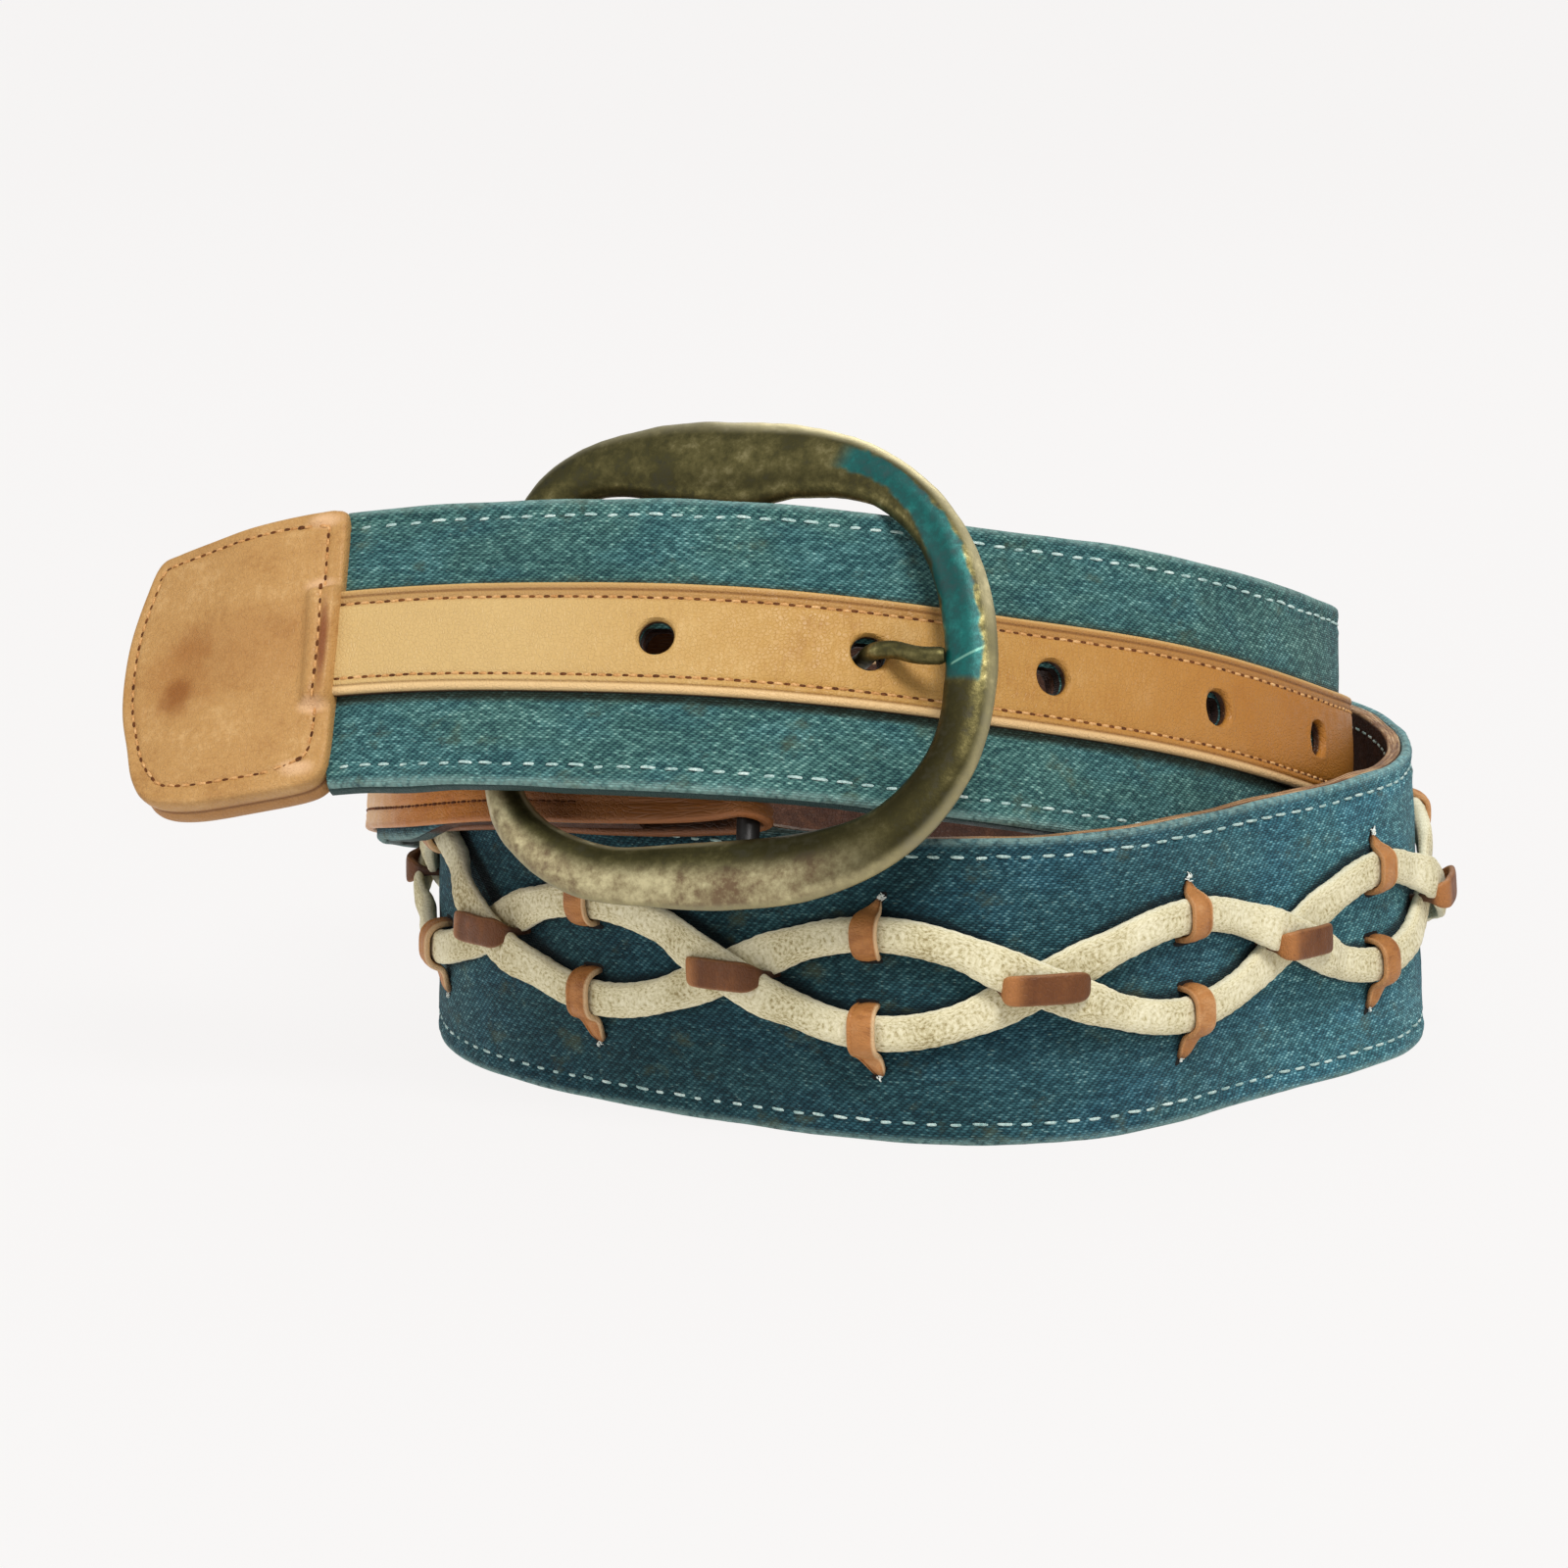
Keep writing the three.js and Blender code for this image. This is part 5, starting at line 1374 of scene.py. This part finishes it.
# A flat braid: a rounded oblong section with lozenges from two families of diagonal strands.
def makeCord(name, side, node):
    s = np.arange(lacing["start"], lacing["end"], lacing["step"])
    v, d, half = cordState(s, side)
    slope = np.arctan2(np.gradient(v), np.gradient(s))[:, None]
    length = np.r_[0, np.cumsum(np.hypot(np.diff(v), np.diff(s)))]
    a = np.arange(lacing["round"]) * 2 * np.pi / lacing["round"]
    cos, sin = np.cos(a), np.sin(a)
    wide = np.interp(half * 2, [lacing["pressed"], lacing["thick"]], [lacing["pressedWide"], lacing["wide"]])
    x = np.sign(cos) * np.abs(cos) ** 0.62 * wide[:, None] / 2
    y = np.sign(sin) * np.abs(sin) ** 0.72
    turn = 2 * np.pi * length[:, None] / lacing["braidPitch"]
    lean = lacing["strands"] * a
    weave = np.cos((turn + lean) / 2 + a / 2) * np.cos((turn - lean) / 2 - a / 2)
    relief = lacing["relief"] * (weave + 0.6 * softNoise(length[:, None] / 1.1, a * 3 + side * 20, 61))
    end = np.minimum(smoothStep(s, s[0], s[0] + 1.5), smoothStep(s, s[-1], s[-1] - 1.5))[:, None] * 0.5 + 0.5
    w = (x + relief * cos) * end
    h = (y * half[:, None] + relief * sin) * end
    place = np.stack([s[:, None] - w * np.sin(slope), v[:, None] + w * np.cos(slope), d[:, None] + h], -1)
    fromRim = np.minimum(a, 2 * np.pi - a) * 2.1
    look = np.stack([length[:, None] + 0 * w, fromRim + 0 * w, 0.5 + 0.5 * weave], -1)
    joined, faces, where = cappedTube(place, look)
    points = onStrap(*joined.T)
    makePiece(name, points, faces, where, "cotton", cotton, [node])
    return length[-1]


cordLength = makeCord("braidA", 1, "lacing_cord_a"), makeCord("braidB", -1, "lacing_cord_b")
print("cords braided, lengths", cordLength)

keeper = {
    "thick": 1.15,
    # distance from the crossing, height of the middle of the leather, half width
    "rows": [(-6.7, 0.1, 0.5), (-6.5, 1.2, 0.55), (-6.15, 2.5, 0.7), (-5.7, 3.7, 1.2), (-5.2, 4.6, 1.8),
             (-4.5, 5.2, 2.15), (-3.2, 5.5, 2.25), (0, 5.6, 2.25), (3.2, 5.5, 2.25), (4.5, 5.3, 2.15),
             (5.05, 4.75, 2.0), (5.35, 3.7, 1.4), (5.7, 2.5, 0.8), (5.95, 1.2, 0.55), (6.1, 0.1, 0.5)],
    # across the cord outward from its middle line: height of the leather's middle, half width, drift
    "lowerLoop": [(-3.6, -0.3, 1.75, 0), (-3.55, 1.0, 1.8, 0), (-3.2, 2.4, 1.9, 0), (-2.1, 3.5, 1.95, 0),
                  (0, 3.8, 1.95, 0), (2.0, 3.5, 1.95, 0), (3.0, 2.5, 1.95, 0.05), (3.5, 1.4, 1.9, 0.15),
                  (4.3, 0.9, 1.7, 0.45), (5.2, 0.7, 1.4, 0.8), (6.0, 0.4, 1.0, 1.1), (6.4, 0.0, 0.7, 1.2)],
    "upperLoop": [(-3.5, -0.3, 1.5, 0.2), (-3.45, 1.0, 1.6, 0.1), (-3.1, 2.4, 1.8, 0), (-2.0, 3.5, 1.95, 0),
                  (0, 3.8, 1.95, 0.1), (1.9, 3.5, 1.9, 0), (2.7, 2.6, 1.75, -0.1), (3.15, 1.6, 1.5, -0.3),
                  (3.6, 0.9, 1.1, -0.55), (4.1, 0.45, 0.7, -0.8), (4.5, 0.0, 0.35, -0.95)],
}


# A leather band over a line: rows are resampled on a smooth curve, the section is a rounded oblong,
# and place keeps the share of the half width for the worn edges.
def bandParts(rows, count, thick, toStrap, crease=None):
    rows = openCurve(rows, count)
    run, height, half, drift = rows.T
    slope = np.arctan2(np.gradient(height), np.gradient(run))
    a = np.arange(28) * 2 * np.pi / 28
    x = np.sign(np.cos(a)) * np.abs(np.cos(a)) ** 0.45
    y = np.sign(np.sin(a)) * np.abs(np.sin(a)) ** 0.6 * thick / 2
    if crease is not None:
        y = y - np.where(y > 0, 0.34 * np.exp(-((x - crease) / 0.14) ** 2), 0)
    r = run[:, None] - y * np.sin(slope)[:, None]
    h = height[:, None] + y * np.cos(slope)[:, None]
    w = x * np.maximum(half, 0.1)[:, None] + drift[:, None]
    place = toStrap(r, w, h)
    look = np.stack([r * 0.8 + 0 * w, np.broadcast_to(x, r.shape), h], -1)
    return cappedTube(place, look)


# A plate over each crossing, with both ends bent down into the strap.
def makeKeepers():
    plate = np.array([(x, h, w, 0) for x, h, w in keeper["rows"]])
    for i, s in enumerate(lacing["crossings"]):
        shake = np.random.default_rng(70 + i).uniform(-1, 1, 4)
        shaped = plate.copy()
        shaped[:, 2] *= 1 + 0.05 * shake[2] * np.sin(plate[:, 0])
        joined, faces, look = bandParts(
            shaped, 64, keeper["thick"],
            lambda r, w, h: np.stack([s + r + shake[0] * 0.2 + 0.06 * w * shake[3],
                                      lacing["middle"] + w + r * (shake[1] - 0.6) * 0.03, h], -1))
        look = look + (i * 31.0, 0, 0)
        makePiece(f"keeper{i + 1:02d}", onStrap(*joined.T), faces, look,
                  "keeper", keeperLeather, [f"keeper_centre_{i + 1:02d}"])


# A loop over each cord where it is farthest from the other, with its tail outward. Gives the slits'
# places.
def makeLoops():
    slits = []
    for i, s in enumerate(lacing["loops"]):
        for side, word in ((1, "upper"), (-1, "lower")):
            shake = np.random.default_rng(200 + 2 * i + (side > 0)).uniform(-1, 1, 6)
            both = [cordState(np.array([s]), cordSide)[0][0] for cordSide in (1, -1)]
            centre = max(both) if side > 0 else min(both)
            rows = np.array(keeper[f"{word}Loop"])
            tail = smoothStep(rows[:, 0], 3.0, 5.0)
            rows[:, 0] *= 1 + 0.06 * shake[0] * tail
            rows[:, 3] *= (1 + 0.35 * shake[3]) * (1 if side > 0 or s < 440 else -1)
            middle = s + shake[1] * 0.3
            joined, faces, look = bandParts(
                rows, 64, 1.1,
                lambda r, w, h: np.stack([middle + w + 0.04 * r * shake[2], centre + side * r, h], -1),
                crease=-0.62 * side if shake[4] > -0.5 else 0.55)
            look = look + (500 + i * 31.0 + side * 9, 0, 0)
            makePiece(f"{word}Loop{i + 1:02d}", onStrap(*joined.T), faces, look,
                      "keeper", loopLeather, [f"loop_{word}_{i + 1:02d}"])
            slits.append((middle + rows[-1, 3], centre + side * (rows[-1, 0] + 0.1), side))
            slits.append((middle, centre - side * 4.1, side))
    return np.array(slits)


makeKeepers()
slitPlaces = makeLoops()


# Slits: flattened lenses of painted shade on the denim, slanted beside a loop's tail and level at its inner
# end.
def makeSlits():
    s, v, side = slitPlaces.T
    outer = np.arange(len(s)) % 2 == 0
    angle = np.where(outer, np.where(side > 0, -1.0, -0.75), 0.0)
    length = np.where(outer, 3.0, 4.2)
    part = stitchParts(s, v, denimRelief(s, v) + 0.02, angle, length, 0.95, 0.03, 0.05, 0.15)
    makeStitches("slits", [part], "denim", slitShade)


# Frayed ends: thin threads in a tuft at the tip of each tail, rising and drooping along a parabola.
def makeFray():
    rng = np.random.default_rng(9)
    perTuft = 7
    base = np.repeat(slitPlaces[::2], perTuft, axis=0)
    count, side = len(base), base[:, 2]
    start = base[:, :2] + np.stack([0 * side, 0.3 * side], 1) + rng.uniform(-0.4, 0.4, (count, 2))
    heading = side * np.pi / 2 + 0.5 * side + rng.uniform(-0.8, 0.8, count)
    length, lift = rng.uniform(0.6, 1.3, count) * np.where(side > 0, 1, 0.5), rng.uniform(0.1, 0.35, count)
    t = np.linspace(0, 1, 6)
    angle = heading[:, None] + rng.uniform(-0.9, 0.9, count)[:, None] * t
    s = start[:, :1] + length[:, None] * t * np.cos(angle)
    v = start[:, 1:] + length[:, None] * t * np.sin(angle)
    d = 0.2 + lift[:, None] * 4 * t * (1 - t)
    a = np.arange(5) * 2 * np.pi / 5
    thin = 0.15 * (1 - 0.5 * t)
    place = np.stack([s[..., None] - thin[:, None] * np.cos(a) * np.sin(angle)[..., None],
                      v[..., None] + thin[:, None] * np.cos(a) * np.cos(angle)[..., None],
                      d[..., None] + thin[:, None] * np.sin(a) + 0 * s[..., None]], -1)
    first = (np.arange(count) * 30)[:, None, None]
    faces = [(first + gridFaces(6, 5, wrapColumns=True)).reshape(-1, 4),
             (first + np.array([[4, 3, 2, 1, 0], [25, 26, 27, 28, 29]])).reshape(-1, 5)]
    flat = place.reshape(-1, 3)
    makePiece("frayedThreads", onStrap(*flat.T), faces, flat, "denim", frayThread)


makeSlits()
makeFray()
print("keepers, loops and", pieceCount, "pieces made")
